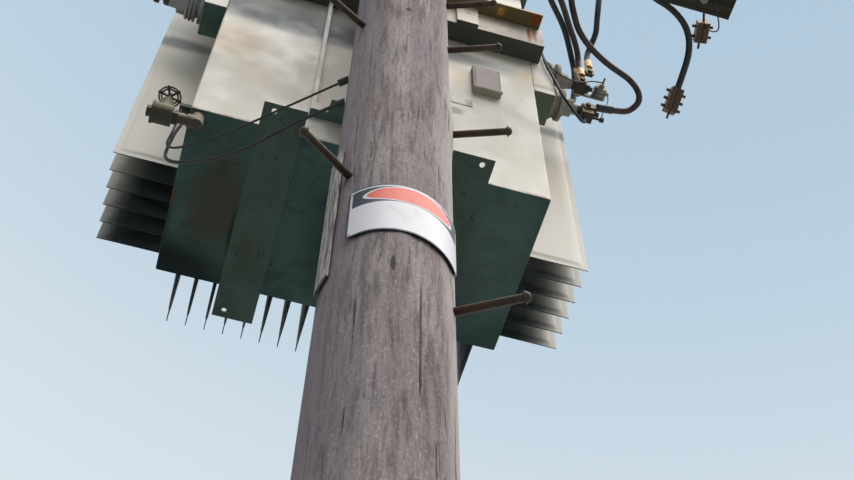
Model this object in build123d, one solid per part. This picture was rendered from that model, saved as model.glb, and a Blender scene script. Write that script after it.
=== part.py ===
from build123d import *
from math import cos, degrees, pi, radians, sin, tan
import os

# Three-phase distribution transformer hung on a round timber pole.
# Millimetres. The origin is the centre of the pole's flat base at ground level.
# +Z is up, +X runs along the transformer's wide front wall and +Y points from the pole to the tank.

# Pole
pole_height = 10400
pole_base_radius = 168
pole_top_radius = 135
fit_gap = 0.3
cut_over = 1

# Tank
tank_bottom = 5400
tank_width = 1150
tank_depth = 600
tank_height = 1800
tank_front = 281
tank_corner = 6
lid_thickness = 12
lid_overhang = 32
lid_corner = 30

# Lifting skids below the tank
skid_thickness = 8
skid_width = 136
skid_length = 803
skid_front = 195
skid_centre = 297
skid_hole_radius = 9
skid_hole_spacing_x = 658
skid_hole_spacing_y = 750
skid_hole_front = 25

# Cooling fins
fin_bottom = 22
fin_height = 1530
fin_reach = 205
fin_root = 13
fin_tip = 9
fin_seam = 3
fin_seam_width = 16
side_fin_count = 6
side_fin_pitch = 64
side_fin_first = 229
back_fin_count = 17
back_fin_pitch = 63

# Bushing pockets on both side walls
pocket_bottom = 837
pocket_reach = 82
pocket_depth = 129
boss_radius = 50
lv_upright = 148
lv_slope = 474
lv_count = 2
lv_pitch = 235
lv_drop = 78
hv_upright = 760
hv_slope = 180
hv_count = 3
hv_pitch = 300
hv_drop = 90

# Low-voltage bushings
lv_flange_radius = 62
lv_flange = 15
lv_neck_radius = 42
lv_neck = 18
lv_disc = 18
lv_body_radius = 34
lv_body = 38
lv_nose_radius = 22
lv_nose = 20
stud_radius = 10
lv_stud = 88
nut_radius = 20
nut_length = 16
outer_nut_length = 14

# High-voltage bushings
hv_flange_radius = 60
hv_neck_radius = 40
hv_neck = 11
hv_disc_radius = 58
hv_disc = 38
hv_body_radius = 42
hv_body = 32
hv_nose_radius = 26
hv_nose = 30
hv_stud_radius = 9
hv_stud = 90
hv_nut_radius = 24
hv_nut = 18
hv_nut_pitch = 36
hv_nut_count = 2

# Mounting frame between tank and pole
channel_bottom = 1100
channel_height = 165
channel_depth = 74
channel_length = 1218
channel_wall = 8
saddle_bottom = 1100
saddle_block = 130
saddle_wrap = 95
pad_plate_start = 258
pad_plate_length = 84
pad_plate_depth = 15
bar_length = 1192
bar_thickness = 12
bar_leg = 70
bar_reach = 60
rib_centre = 214
rib_width = 15
rib_depth = 30
bracket_bottom = 146
bracket_height = 54
bracket_thickness = 8
foot_length = 330
foot_depth = 46
foot_wrap = 120
through_bolt_radius = 10
washer_side = 60
washer_thickness = 6
bolt_head = 14
bolt_head_radius = 17
bolt_recess = 12
bracket_bolt_height = 14

# Drain pipe and gate valve at the front left corner
pipe_radius = 16.5
pipe_drop = 35
pipe_inset = 27
pipe_setback = 29
socket_radius = 21
socket_length = 28
pipe_run = 29
neck_radius = 23
neck_length = 17
valve_radius = 33
valve_length = 55
cap_radius = 36
cap_length = 8
plug_radius = 18
plug_length = 15
bonnet_radius = 22
bonnet_height = 78
stem_radius = 5
stem_collar_radius = 8
stem_nut_radius = 9
stem_nut = 6
wheel_height = 40
wheel_radius = 37
wheel_rim = 4
wheel_hub_radius = 11
wheel_hub_height = 14
wheel_spoke = 3
wheel_spokes = 6
wheel_lobe = 6
wheel_lobe_height = 9
wheel_turn = 15
spoke_root = 4
wheel_bore_gap = 0.05

# Plates
rating_x = 331
rating_width = 104
rating_bottom = 668
rating_height = 196
rating_depth = 22
label_x = 250
label_width = 80
label_bottom = 540
label_height = 50
label_depth = 2
sign_bottom = -1203
sign_height = 208
sign_start = -141
sign_end = -26
sign_thickness = 3

# Pole steps
step_radius = 10
step_reach = 165
step_depth = 90
step_cap_radius = 14
step_cap = 16
step_angle_right = -20
step_angle_left = -153
right_low_angle = -30
left_low_angle = -147
right_step_low = -1346
right_step_middle = -436
right_step_extra = 155
right_step_high = 532
left_step_low = -873
left_step_high = 127
step_pitch = 898
left_step_pitch = 948

# Earth cable capping on the pole
capping_angle = 191
capping_width = 64
capping_thickness = 6
capping_bottom = -1300
capping_top = -700

# Low-voltage crossarm on the front of the pole
arm_length = 2350
arm_depth = 100
arm_height = 100
arm_bottom = 906
insulator_end = 115
insulator_spacing = 640
pin_radius = 8
pin_height = 60
insulator_radius = 38
insulator_skirt = 33
insulator_groove = 16
insulator_crown = 33
insulator_neck_radius = 30
insulator_lift = 30
groove_radius = 24
pin_nut_radius = 16

# Terminals and lugs on the low-voltage studs
terminal_length = 44
terminal_half = 22
terminal_drop = 25
rod_drop = 35
rod_radius = 5
rod_reach = 30
rod_nut_radius = 10
rod_nut = 14
flag_width = 36
flag_thickness = 10
flag_setback = 4
flag_height = 162
flag_arm = 27
flag_reach = 44
lug_thickness = 7
lug_width = 34
lug_tail = 17
lug_palm = 42
lug_barrel = 60
lug_barrel_radius = 15
lug_bolt_radius = 6
lug_bolt_head = 11
lug_bolt_length = 8
lug_run = 55
loop_turn = 76

# Small arrester beside the upper terminal
arrester_setout = 58
arrester_drop = 8
arrester_core_radius = 23
arrester_rib_radius = 28
arrester_rib = 9.5
arrester_waist = 5.8
arrester_ribs = 3
arrester_stud_radius = 4
arrester_stud = 29
arrester_nut_radius = 11
arrester_nut = 12
strap_thickness = 6
strap_height = 24
side_boss_radius = 6
side_boss = 8

# Earth fittings on the tank walls and the pole
pad_width = 24
pad_height = 22
right_pad_reach = 56
right_pad_setback = 24
right_pad_top = 1362
left_pad_reach = 44
left_pad_setback = 92
left_pad_bottom = 153
wall_boss_radius = 16
wall_boss_reach = 45
wall_boss_setback = 171
wall_boss_height = 1040
pole_clip_radius = 11
pole_clip_depth = 40

# Cable cleat on top of the crossarm
cleat_inset = 701
cleat_length = 402
cleat_depth = 28
cleat_front = 2
cleat_gap = 0.8
cleat_height = 46
cleat_bore_height = 24
cleat_bores = (26, 71, 126, 216, 376)

# Clamps on the line tail
clamp_width = 46
clamp_height = 40
clamp_length = 96
clamp_split = 3
clamp_bolt_radius = 6
clamp_bolt_reach = 16
arm_clamp_length = 78
stub_radius = 4.5
stub_reach = 26

# Cables
lv_cable = 24
line_cable = 25
thick_lead = 10.5
thin_lead = 7
bond_lead = 11
wire = 5

# Places that follow from the sizes above
tank_back = tank_front + tank_depth
tank_half = tank_width / 2
pocket_middle = tank_front + pocket_depth / 2
pocket_face = tank_half + pocket_reach
channel_front = tank_front - channel_depth
channel_top = channel_bottom + channel_height
valve_axis_z = tank_bottom - pipe_drop
terminal_x = pocket_face + lv_flange + lv_neck + lv_disc + lv_body + lv_nose + nut_length + fit_gap
arrester_x = terminal_x + terminal_length + arrester_setout
pipe_x = pipe_inset - tank_half
pipe_y = tank_front + pipe_setback


def pole_radius(z):
    """Radius of the tapered pole at height z above the ground."""
    return pole_base_radius + (pole_top_radius - pole_base_radius) * z / pole_height


def block(x0, x1, y0, y1, z0, z1):
    """Box between two corners."""
    return Pos((x0 + x1) / 2, (y0 + y1) / 2, (z0 + z1) / 2) * Box(x1 - x0, y1 - y0, z1 - z0)


def rod_between(start, end, radius):
    """Straight round bar from one point to another."""
    way = Vector(*end) - Vector(*start)
    return extrude(Plane(origin=start, z_dir=way) * Circle(radius), way.length)


def turned(steps, place, direction):
    """Round body of stepped lengths: each step is (length, start radius, end radius)."""
    points = [(0, 0)]
    along = 0
    for length, first, last in steps:
        points.append((first, along))
        along += length
        points.append((last, along))
    points.append((0, along))
    outline = make_face(Plane.XZ * Polyline(*points, close=True))
    body = revolve(outline, Axis.Z, 360)
    return Plane(origin=place, z_dir=direction).location * body


def hexagon_bar(place, direction, radius, length):
    """Hexagonal bar or nut, radius measured to its corners."""
    return extrude(Plane(origin=place, z_dir=direction) * RegularPolygon(radius, 6), length)


def save(name, *solids):
    """Write one named sub-part, as one or more solids."""
    found = [solid for item in solids for solid in item.solids()]
    export_step(found[0] if len(found) == 1 else Compound(children=found), f"parts/{name}.step")


# Pole and what is driven into it

def pole_cone(grow=0):
    """The pole's own tapered body, or the same body grown outwards by a clearance."""
    body = Solid.make_cone(pole_base_radius + grow, pole_top_radius + grow, pole_height)
    return Part(body.wrapped)


def through_bolt_heights():
    """Heights of the bolts that pass through the pole."""
    bracket_middle = tank_bottom + bracket_bottom + bracket_bolt_height
    saddle_middle = tank_bottom + (saddle_bottom + channel_top) / 2
    arm_middle = tank_bottom + arm_bottom + arm_height / 2
    return {"bracket": bracket_middle, "saddle": saddle_middle, "arm": arm_middle}


def step_places():
    """Each step as its height and the direction that it points in."""
    rights = (right_step_middle, right_step_extra, right_step_high, right_step_high + step_pitch,
              right_step_high + 2 * step_pitch)
    lefts = (left_step_high, left_step_high + left_step_pitch, left_step_high + 2 * left_step_pitch)
    right = [(tank_bottom + z, step_angle_right) for z in rights]
    left = [(tank_bottom + z, step_angle_left) for z in lefts]
    right.insert(0, (tank_bottom + right_step_low, right_low_angle))
    left.insert(0, (tank_bottom + left_step_low, left_low_angle))
    return right, left


def step_hole(z, angle):
    """Drilled hole that one pole step is driven into."""
    out = Vector(cos(radians(angle)), sin(radians(angle)), 0)
    centre = Vector(0, 0, z)
    depth_start = centre + out * (pole_radius(z) - step_depth)
    return rod_between(depth_start, centre + out * (pole_radius(z) + step_depth), step_radius)


def make_pole():
    """Tapered timber pole with its drilled holes."""
    pole = pole_cone()
    reach = pole_base_radius * 2
    for z in through_bolt_heights().values():
        pole -= rod_between((0, -reach, z), (0, reach, z), through_bolt_radius)
    for places in step_places():
        for z, angle in places:
            pole -= step_hole(z, angle)
    return pole


def make_step(z, angle):
    """Round pole step with a cap at its outer end, driven into the pole."""
    out = Vector(cos(radians(angle)), sin(radians(angle)), 0)
    inner = Vector(0, 0, z) + out * (pole_radius(z) - step_depth)
    outer = Vector(0, 0, z) + out * (pole_radius(z) + step_reach)
    bar = rod_between(inner, outer, step_radius)
    return bar + rod_between(outer - out * step_cap, outer, step_cap_radius)


def make_capping():
    """Curved strip that covers the earth cable on the pole's left side."""
    z0 = tank_bottom + capping_bottom
    z1 = tank_bottom + capping_top
    half = degrees(capping_width / 2 / pole_radius(z0))
    cover = fit_gap + capping_thickness
    cone = Solid.make_cone(pole_radius(z0) + cover, pole_radius(z1) + cover, z1 - z0)
    shell = Pos(0, 0, z0) * Part(cone.wrapped) - pole_cone(fit_gap)
    return shell & pole_sector(capping_angle - half, capping_angle + half, z0, z1)


def pole_sector(start, end, z0, z1):
    """Wedge about the pole's axis between two angles in degrees."""
    reach = pole_base_radius * 2
    steps = 8
    points = [(0, 0)]
    for k in range(steps + 1):
        angle = radians(start + (end - start) * k / steps)
        points.append((reach * cos(angle), reach * sin(angle)))
    face = make_face(Pos(0, 0, z0) * Polyline(*points, close=True))
    return extrude(face, z1 - z0, dir=(0, 0, 1))


def make_sign():
    """Thin curved plate wrapped round the front of the pole."""
    z0 = tank_bottom + sign_bottom
    z1 = z0 + sign_height
    radius = pole_radius(z0) + fit_gap
    low = (0, 0, z0)
    high = (0, 0, z1)
    ring = rod_between(low, high, radius + sign_thickness) - rod_between(low, high, radius)
    return ring & pole_sector(sign_start, sign_end, z0, z1)


# Transformer tank

def make_tank():
    """Welded tank, closed and full, so it is one solid with rounded upright corners."""
    body = block(-tank_half, tank_half, tank_front, tank_back, tank_bottom, tank_bottom + tank_height)
    return fillet(body.edges().filter_by(Axis.Z), tank_corner)


def make_lid():
    """Flat cover that overhangs the tank all round."""
    z0 = tank_bottom + tank_height
    reach = tank_half + lid_overhang
    lid = block(-reach, reach, tank_front - lid_overhang, tank_back + lid_overhang, z0, z0 + lid_thickness)
    return fillet(lid.edges().filter_by(Axis.Z), lid_corner)


def make_skid(side):
    """Flat plate under the tank, with a bolt hole near each end."""
    x = side * skid_centre
    z1 = tank_bottom
    z0 = z1 - skid_thickness
    plate = block(x - skid_width / 2, x + skid_width / 2, skid_front, skid_front + skid_length, z0, z1)
    hole_x = side * skid_hole_spacing_x / 2
    for y in (skid_front + skid_hole_front, skid_front + skid_hole_front + skid_hole_spacing_y):
        plate -= rod_between((hole_x, y, z0 - cut_over), (hole_x, y, z1 + cut_over), skid_hole_radius)
    return plate


def fin_profile():
    """Half-closed pressed panel seen from above, standing out along +X from a wall at x = 0."""
    body_end = fin_reach - fin_seam_width
    return [(0, -fin_root / 2), (body_end - fin_seam_width, -fin_tip / 2), (body_end, -fin_seam / 2),
            (fin_reach, -fin_seam / 2), (fin_reach, fin_seam / 2), (body_end, fin_seam / 2),
            (body_end - fin_seam_width, fin_tip / 2), (0, fin_root / 2)]


def make_fin():
    """One cooling fin at the frame's origin: a hollow pressing with a flat seam below, above and outside."""
    profile = make_face(Polyline(*fin_profile(), close=True))
    body = extrude(profile, fin_height - 2 * fin_seam_width, dir=(0, 0, 1))
    body = Pos(0, 0, fin_bottom + fin_seam_width) * body
    seam = block(0, fin_reach, -fin_seam / 2, fin_seam / 2, fin_bottom, fin_bottom + fin_height)
    return body + seam


def side_fins(side):
    """Row of fins on a side wall."""
    turn = 0 if side > 0 else 180
    fin = make_fin()
    fins = []
    for k in range(side_fin_count):
        y = tank_front + side_fin_first + side_fin_pitch * k
        fins.append(Pos(side * tank_half, y, tank_bottom) * Rot(0, 0, turn) * fin)
    return fins


def back_fins():
    """Row of fins on the back wall."""
    fin = make_fin()
    first = -back_fin_pitch * (back_fin_count - 1) / 2
    return [Pos(first + back_fin_pitch * k, tank_back, tank_bottom) * Rot(0, 0, 90) * fin
            for k in range(back_fin_count)]


# Bushings

def make_pocket(side, upright, slope, places):
    """Housing on a side wall: an upright face, a slope back to the wall and a boss for each bushing."""
    low = tank_bottom + pocket_bottom
    points = [(tank_half, low), (pocket_face, low), (pocket_face, low + upright),
              (tank_half, low + upright + slope)]
    face = make_face(Plane.XZ * Polyline(*[(side * x, z) for x, z in points], close=True))
    pocket = extrude(Pos(0, tank_front, 0) * face, pocket_depth, dir=(0, 1, 0))
    for x, y, z in places:
        pocket += rod_between((side * tank_half, y, z), (x, y, z), boss_radius)
    return pocket


def make_lv_bushing(k):
    """Low-voltage bushing: flange, disc, body, nose, threaded stud and the nuts beside its terminal."""
    place = lv_place(k)
    out = (1, 0, 0)
    steps = [(lv_flange, lv_flange_radius, lv_flange_radius), (lv_neck, lv_neck_radius, lv_neck_radius),
             (lv_disc, lv_flange_radius, lv_flange_radius), (lv_body, lv_body_radius, lv_body_radius),
             (lv_nose, lv_nose_radius, lv_nose_radius), (lv_stud, stud_radius, stud_radius)]
    inner = hexagon_bar((terminal_x - fit_gap - nut_length, place[1], place[2]), out, nut_radius, nut_length)
    outer_x = terminal_x + terminal_length + fit_gap
    outer = hexagon_bar((outer_x, place[1], place[2]), out, nut_radius, outer_nut_length)
    return turned(steps, place, out) + inner + outer


def lv_place(k):
    """Centre of a low-voltage bushing's flange on the pocket face."""
    return (pocket_face, pocket_middle, tank_bottom + pocket_bottom + lv_pitch * k + lv_drop)


def hv_place(k):
    """Centre of a high-voltage bushing's flange on the pocket face."""
    return (-pocket_face, pocket_middle, tank_bottom + pocket_bottom + hv_pitch * k + hv_drop)


def make_hv_bushing(k):
    """High-voltage bushing: flange, neck, disc, body, nose, and a terminal stud with its nuts."""
    out = (-1, 0, 0)
    steps = [(lv_flange, hv_flange_radius, hv_flange_radius), (hv_neck, hv_neck_radius, hv_neck_radius),
             (hv_disc, hv_disc_radius, hv_disc_radius), (hv_body, hv_body_radius, hv_body_radius),
             (hv_nose, hv_nose_radius, hv_nose_radius), (hv_stud, hv_stud_radius, hv_stud_radius)]
    bushing = turned(steps, hv_place(k), out)
    x, y, z = hv_place(k)
    nose_end = x - lv_flange - hv_neck - hv_disc - hv_body - hv_nose
    for j in range(hv_nut_count):
        bushing += hexagon_bar((nose_end - hv_nut_pitch * j, y, z), out, hv_nut_radius, hv_nut)
    return bushing


# Mounting frame

def make_channel():
    """Steel channel welded across the front wall near the top, its open side towards the wall."""
    z0 = tank_bottom + channel_bottom
    z1 = z0 + channel_height
    half = channel_length / 2
    outer = block(-half, half, channel_front, tank_front, z0, z1)
    inner = block(-half - cut_over, half + cut_over, channel_front + channel_wall, tank_front + cut_over,
                  z0 + channel_wall, z1 - channel_wall)
    return outer - inner


def make_saddle():
    """Block on the channel's face, hollowed to the pole."""
    z0 = tank_bottom + saddle_bottom
    z1 = tank_bottom + channel_top
    middle = block(-saddle_block, saddle_block, saddle_wrap, channel_front, z0, z1)
    bolt_z = through_bolt_heights()["saddle"]
    hole = rod_between((0, 0, bolt_z), (0, channel_front + cut_over, bolt_z), through_bolt_radius)
    return middle - pole_cone(fit_gap) - hole


def make_pad_plate(side):
    """Small plate on the channel's face beside the pole."""
    z0 = tank_bottom + saddle_bottom
    z1 = tank_bottom + channel_top
    near = side * pad_plate_start
    far = side * (pad_plate_start + pad_plate_length)
    return block(min(near, far), max(near, far), channel_front - pad_plate_depth, channel_front, z0, z1)


def make_bar():
    """Steel angle on top of the channel, one leg flat and one leg upright against the tank."""
    z0 = tank_bottom + channel_top
    half = bar_length / 2
    back = tank_front - fit_gap
    flat = block(-half, half, channel_front - bar_reach, back, z0, z0 + bar_thickness)
    upright = block(-half, half, back - bar_thickness, back, z0, z0 + bar_leg)
    return flat + upright - pole_cone(fit_gap)


def make_rib(side):
    """Upright flat bar on the front wall, from the lower bracket to the channel."""
    x = side * rib_centre
    z0 = tank_bottom + bracket_bottom + bracket_height
    z1 = tank_bottom + channel_bottom
    return block(x - rib_width / 2, x + rib_width / 2, tank_front - rib_depth, tank_front, z0, z1)


def make_bracket():
    """Lower steel angle across the ribs, with a short foot and a web that bears on the pole."""
    z0 = tank_bottom + bracket_bottom
    half = rib_centre + rib_width / 2
    bar = block(-half, half, tank_front - rib_depth, tank_front, z0, z0 + bracket_height)
    back = tank_front - rib_depth
    foot = block(-foot_length / 2, foot_length / 2, back - foot_depth, back, z0, z0 + bracket_thickness)
    web = block(-foot_length / 4, foot_length / 4, foot_wrap, back, z0, z0 + bracket_height)
    bolt_z = through_bolt_heights()["bracket"]
    hole = rod_between((0, 0, bolt_z), (0, tank_front + cut_over, bolt_z), through_bolt_radius)
    return bar + foot + web - pole_cone(fit_gap) - hole


# Drain valve

def pipe_points():
    """Places along the drain pipe: below the tank, its socket, and the start of the valve."""
    return (pipe_x, pipe_y, valve_axis_z)


def make_pipe():
    """Drain socket under the tank and the short pipe that runs out to the valve."""
    x, y, z = pipe_points()
    bend = rod_between((x, y, tank_bottom), (x, y, z - pipe_radius), socket_radius)
    collar = rod_between((x, y, z), (x - socket_length, y, z), socket_radius)
    run = rod_between((x, y, z), (x - socket_length - pipe_run, y, z), pipe_radius)
    return bend + collar + run


def valve_start():
    """Right end of the valve on the pipe."""
    return pipe_x - socket_length - pipe_run


def valve_middle():
    """Centre of the valve along X, where its bonnet stands."""
    return valve_start() - neck_length - valve_length / 2


def make_valve():
    """Gate valve body with its hexagon neck, round body, end cap, bonnet and stem."""
    y = pipe_y
    z = valve_axis_z
    left = (-1, 0, 0)
    x = valve_start()
    neck = hexagon_bar((x, y, z), left, neck_radius, neck_length)
    body = turned([(valve_length, valve_radius, valve_radius), (cap_length, cap_radius, cap_radius)],
                  (x - neck_length, y, z), left)
    bonnet = rod_between((valve_middle(), y, z), (valve_middle(), y, z + bonnet_height), bonnet_radius)
    x = valve_middle()
    wheel_low = z + bonnet_height + wheel_height
    wheel_top = wheel_low + wheel_hub_height
    collar = rod_between((x, y, z), (x, y, wheel_low - fit_gap), stem_collar_radius)
    stem = rod_between((x, y, z), (x, y, wheel_top + fit_gap + stem_nut), stem_radius)
    nut = hexagon_bar((x, y, wheel_top + fit_gap), (0, 0, 1), stem_nut_radius, stem_nut)
    return neck + body + bonnet + collar + stem + nut


def make_plug():
    """Hexagon plug in the valve's outer end."""
    x = valve_start() - neck_length - valve_length - cap_length
    return hexagon_bar((x, pipe_y, valve_axis_z), (-1, 0, 0), plug_radius, plug_length)


def make_wheel():
    """Cast handwheel: a ring with lobes, straight spokes and a bored hub, flat about the stem."""
    half = wheel_hub_height / 2
    wheel = Torus(wheel_radius - wheel_rim, wheel_rim)
    wheel += rod_between((0, 0, -half), (0, 0, half), wheel_hub_radius)
    for k in range(wheel_spokes):
        angle = radians(360 / wheel_spokes * k + wheel_turn)
        way = Vector(cos(angle), sin(angle), 0)
        rim = way * (wheel_radius - wheel_rim)
        wheel += rod_between(way * (wheel_hub_radius - spoke_root), rim, wheel_spoke)
        wheel += Pos(*rim) * Cylinder(wheel_lobe, wheel_lobe_height)
    bore = rod_between((0, 0, -half - cut_over), (0, 0, half + cut_over), stem_radius + wheel_bore_gap)
    middle = valve_axis_z + bonnet_height + wheel_height + half
    return Pos(valve_middle(), pipe_y, middle) * (wheel - bore)


# Plates on the front wall

def make_rating_plate():
    """Bare raised box for the data plate on the front wall."""
    z0 = tank_bottom + rating_bottom
    front = tank_front - rating_depth
    return block(rating_x, rating_x + rating_width, front, tank_front, z0, z0 + rating_height)


def make_label():
    """Small bare plate beside the data plate."""
    z0 = tank_bottom + label_bottom
    return block(label_x, label_x + label_width, tank_front - label_depth, tank_front, z0, z0 + label_height)


# Crossarm

def arm_back():
    """Back face of the crossarm, just in front of the pole."""
    return -(pole_radius(tank_bottom + arm_bottom) + fit_gap)


def make_arm():
    """Sawn timber crossarm on the front of the pole."""
    z0 = tank_bottom + arm_bottom
    arm = block(-arm_length / 2, arm_length / 2, arm_back() - arm_depth, arm_back(), z0, z0 + arm_height)
    bolt_z = through_bolt_heights()["arm"]
    front = arm_back() - arm_depth
    arm -= rod_between((0, front - cut_over, bolt_z), (0, arm_back() + cut_over, bolt_z), through_bolt_radius)
    middle = arm_back() - arm_depth / 2
    for x in insulator_places():
        arm -= rod_between((x, middle, z0 - cut_over), (x, middle, z0 + arm_height + cut_over), pin_radius)
    return arm


def insulator_places():
    """Places of the insulators along the crossarm."""
    outer = arm_length / 2 - insulator_end
    return [-outer, insulator_spacing - outer, outer - insulator_spacing, outer]


def make_insulator(x):
    """Pin insulator: a steel pin through the crossarm and a grooved porcelain body."""
    y = arm_back() - arm_depth / 2
    z0 = tank_bottom + arm_bottom
    top = z0 + arm_height
    pin = rod_between((x, y, z0), (x, y, top + pin_height), pin_radius)
    nut = hexagon_bar((x, y, z0), (0, 0, -1), pin_nut_radius, bolt_head)
    body = turned([(insulator_skirt, insulator_radius, insulator_neck_radius),
                   (insulator_groove, groove_radius, groove_radius),
                   (insulator_crown, insulator_neck_radius, groove_radius)],
                  (x, y, top + insulator_lift), (0, 0, 1))
    return pin + nut + body


def make_through_bolts():
    """Bolts through the pole with square washers and hexagon heads. The lowest ends inside its hole."""
    heights = through_bolt_heights()
    half = washer_side / 2
    spans = {
        "bracket": (-pole_radius(heights["bracket"]) + bolt_recess, tank_front - fit_gap),
        "saddle": (-pole_radius(heights["saddle"] - half) - fit_gap, channel_front - fit_gap),
        "arm": (arm_back() - arm_depth, pole_radius(heights["arm"])),
    }
    bolts = []
    for name, (front, back) in spans.items():
        z = heights[name]
        bolt = rod_between((0, front, z), (0, back, z), through_bolt_radius - fit_gap)
        if name != "bracket":
            bolt += block(-half, half, front - washer_thickness, front, z - half, z + half)
            bolt += hexagon_bar((0, front - washer_thickness, z), (0, -1, 0), bolt_head_radius, bolt_head)
        bolts.append(bolt)
    return bolts


# Terminals and lugs

def lug_seat(k, second):
    """Point on a terminal's front where a lug is bolted: on the block, or on the flag above it."""
    _, y, z = lv_place(k)
    if second:
        end = terminal_x + terminal_length + flag_reach
        return end - flag_arm / 2, flag_front(), z + flag_height - flag_arm / 2
    return terminal_x + terminal_length / 2, y - terminal_half, z


def flag_front():
    """Front face of the flag, set back so that it clears the first lug's barrel."""
    return pocket_middle - terminal_half + lug_barrel_radius - lug_thickness / 2 + flag_setback


def lug_bolt(seat):
    """Bolt that stands out of a terminal's front and holds a lug's palm."""
    x, y, z = seat
    head = y - lug_thickness - 2 * fit_gap
    bolt = rod_between((x, y, z), (x, head, z), lug_bolt_radius)
    return bolt + hexagon_bar((x, head, z), (0, -1, 0), lug_bolt_head, lug_bolt_length)


def make_terminal(k):
    """Clamp block on a stud. The lower one has a short rod, the upper one a flag for a second lug."""
    _, y, z = lv_place(k)
    end = terminal_x + terminal_length
    low = z - terminal_half if k else z - terminal_half - terminal_drop
    body = block(terminal_x, end, y - terminal_half, y + terminal_half, low, z + terminal_half)
    body -= rod_between((terminal_x - cut_over, y, z), (end + cut_over, y, z), stud_radius + fit_gap)
    body += lug_bolt(lug_seat(k, False))
    if k:
        top = z + flag_height
        front = flag_front()
        body += block(end - flag_width, end, front, front + flag_thickness, z + terminal_half, top)
        body += block(end, end + flag_reach, front, front + flag_thickness, top - flag_arm, top)
        return body + lug_bolt(lug_seat(k, True))
    rod_z = z - rod_drop
    tip = end + rod_reach
    body += rod_between((end, y, rod_z), (tip, y, rod_z), rod_radius)
    return body + rod_between((tip, y, rod_z), (tip + rod_nut, y, rod_z), rod_nut_radius)


def make_lug(k, second, turn):
    """Cable lug: a flat palm under its bolt and a round barrel, turned about the bolt."""
    x, y, z = lug_seat(k, second)
    half = lug_width / 2
    palm = block(-half, half, -lug_thickness, 0, -lug_tail, lug_palm)
    palm -= rod_between((0, -lug_thickness - cut_over, 0), (0, cut_over, 0), lug_bolt_radius + fit_gap)
    middle = -lug_thickness / 2
    low = (0, middle, lug_palm - lug_thickness / 2)
    barrel = rod_between(low, (0, middle, lug_palm + lug_barrel), lug_barrel_radius)
    return Pos(x, y - fit_gap, z) * Rot(0, turn, 0) * (palm + barrel)


def lug_exit(k, second, turn):
    """First two points of a lug's cable: the end face of the barrel, and one straight on from it."""
    x, y, z = lug_seat(k, second)
    middle = y - fit_gap - lug_thickness / 2
    length = lug_palm + lug_barrel
    way = (sin(radians(turn)), cos(radians(turn)))
    return [(x + reach * way[0], middle, z + reach * way[1]) for reach in (length, length + lug_run)]


def make_arrester():
    """Small ribbed arrester on a strap that is bolted to the back of the upper terminal."""
    _, y, z = lv_place(1)
    z -= arrester_drop
    back = y + terminal_half + fit_gap
    half = strap_height / 2
    end = arrester_x + arrester_core_radius
    body = block(terminal_x, end, back, back + strap_thickness, z - half, z + half)
    bolt_x = terminal_x + terminal_length / 2
    body += hexagon_bar((bolt_x, back + strap_thickness, z), (0, 1, 0), lug_bolt_head, lug_bolt_length)
    steps = []
    for _ in range(arrester_ribs):
        steps.append((arrester_rib, arrester_rib_radius, arrester_rib_radius))
        steps.append((arrester_waist, arrester_core_radius, arrester_core_radius))
    steps.append((arrester_nut, arrester_nut_radius, arrester_nut_radius))
    steps.append((arrester_stud, arrester_stud_radius, arrester_stud_radius))
    body += turned(steps, (arrester_x, back, z), (0, -1, 0))
    middle = back - arrester_ribs * (arrester_rib + arrester_waist) / 2
    boss_x = arrester_x + arrester_core_radius / 2
    end_x = arrester_x + arrester_rib_radius + side_boss
    return body + rod_between((boss_x, middle, z), (end_x, middle, z), side_boss_radius)


# Earth fittings

def make_right_pad():
    """Earth pad on the sloping face of the low-voltage pocket."""
    y = tank_front + right_pad_setback
    z1 = tank_bottom + right_pad_top
    half = pad_width / 2
    pad = block(tank_half, tank_half + right_pad_reach, y - half, y + half, z1 - pad_height, z1)
    return pad - make_pocket(1, lv_upright, lv_slope, [])


def make_left_pad():
    """Earth pad on the left side wall, behind the drain valve."""
    y = tank_front + left_pad_setback
    z0 = tank_bottom + left_pad_bottom
    half = pad_width / 2
    return block(-tank_half - left_pad_reach, -tank_half, y - half, y + half, z0, z0 + pad_height)


def make_wall_boss():
    """Round earth boss on the right side wall, behind the bushing pocket."""
    y = tank_front + wall_boss_setback
    z = tank_bottom + wall_boss_height
    return rod_between((tank_half, y, z), (tank_half + wall_boss_reach, y, z), wall_boss_radius)


def make_pole_clip(points):
    """Round clip on the pole, in line with the end of an earth lead."""
    before = Vector(*points[-2])
    end = Vector(*points[-1])
    way = (end - before).normalized()
    return rod_between(end, end + way * pole_clip_depth, pole_clip_radius) - pole_cone(fit_gap)


# Cleat and clamps

def make_cleat():
    """Bored bar on top of the crossarm that holds the cable ends."""
    front = arm_back() - arm_depth + cleat_front
    z0 = tank_bottom + arm_bottom + arm_height
    start = arm_length / 2 - cleat_inset
    bar = block(start, start + cleat_length, front, front + cleat_depth, z0, z0 + cleat_height)
    bore_z = z0 + cleat_bore_height
    for reach in cleat_bores:
        radius = (line_cable if reach == cleat_bores[-1] else lv_cable) / 2 + cleat_gap
        near = (start + reach, front - cut_over, bore_z)
        bar -= rod_between(near, (start + reach, front + cleat_depth + cut_over, bore_z), radius)
    return bar


def clamp_body(start, way, length, bolts):
    """Two-part parallel clamp from a starting point along a direction, with bolts across it."""
    plane = Plane(origin=start, x_dir=(1, 0, 0), z_dir=way)
    jaw = Rectangle(clamp_width, clamp_height) - Rectangle(clamp_split, clamp_height * 2)
    core = Rectangle(clamp_width, clamp_height / 2)
    body = extrude(plane * jaw, length) + extrude(plane * core, length)
    for k in range(bolts):
        middle = start + way * (length * (k + 0.5) / bolts)
        reach = plane.x_dir * (clamp_width / 2 + clamp_bolt_reach)
        body += rod_between(middle - reach, middle + reach, clamp_bolt_radius)
    return body


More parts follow.
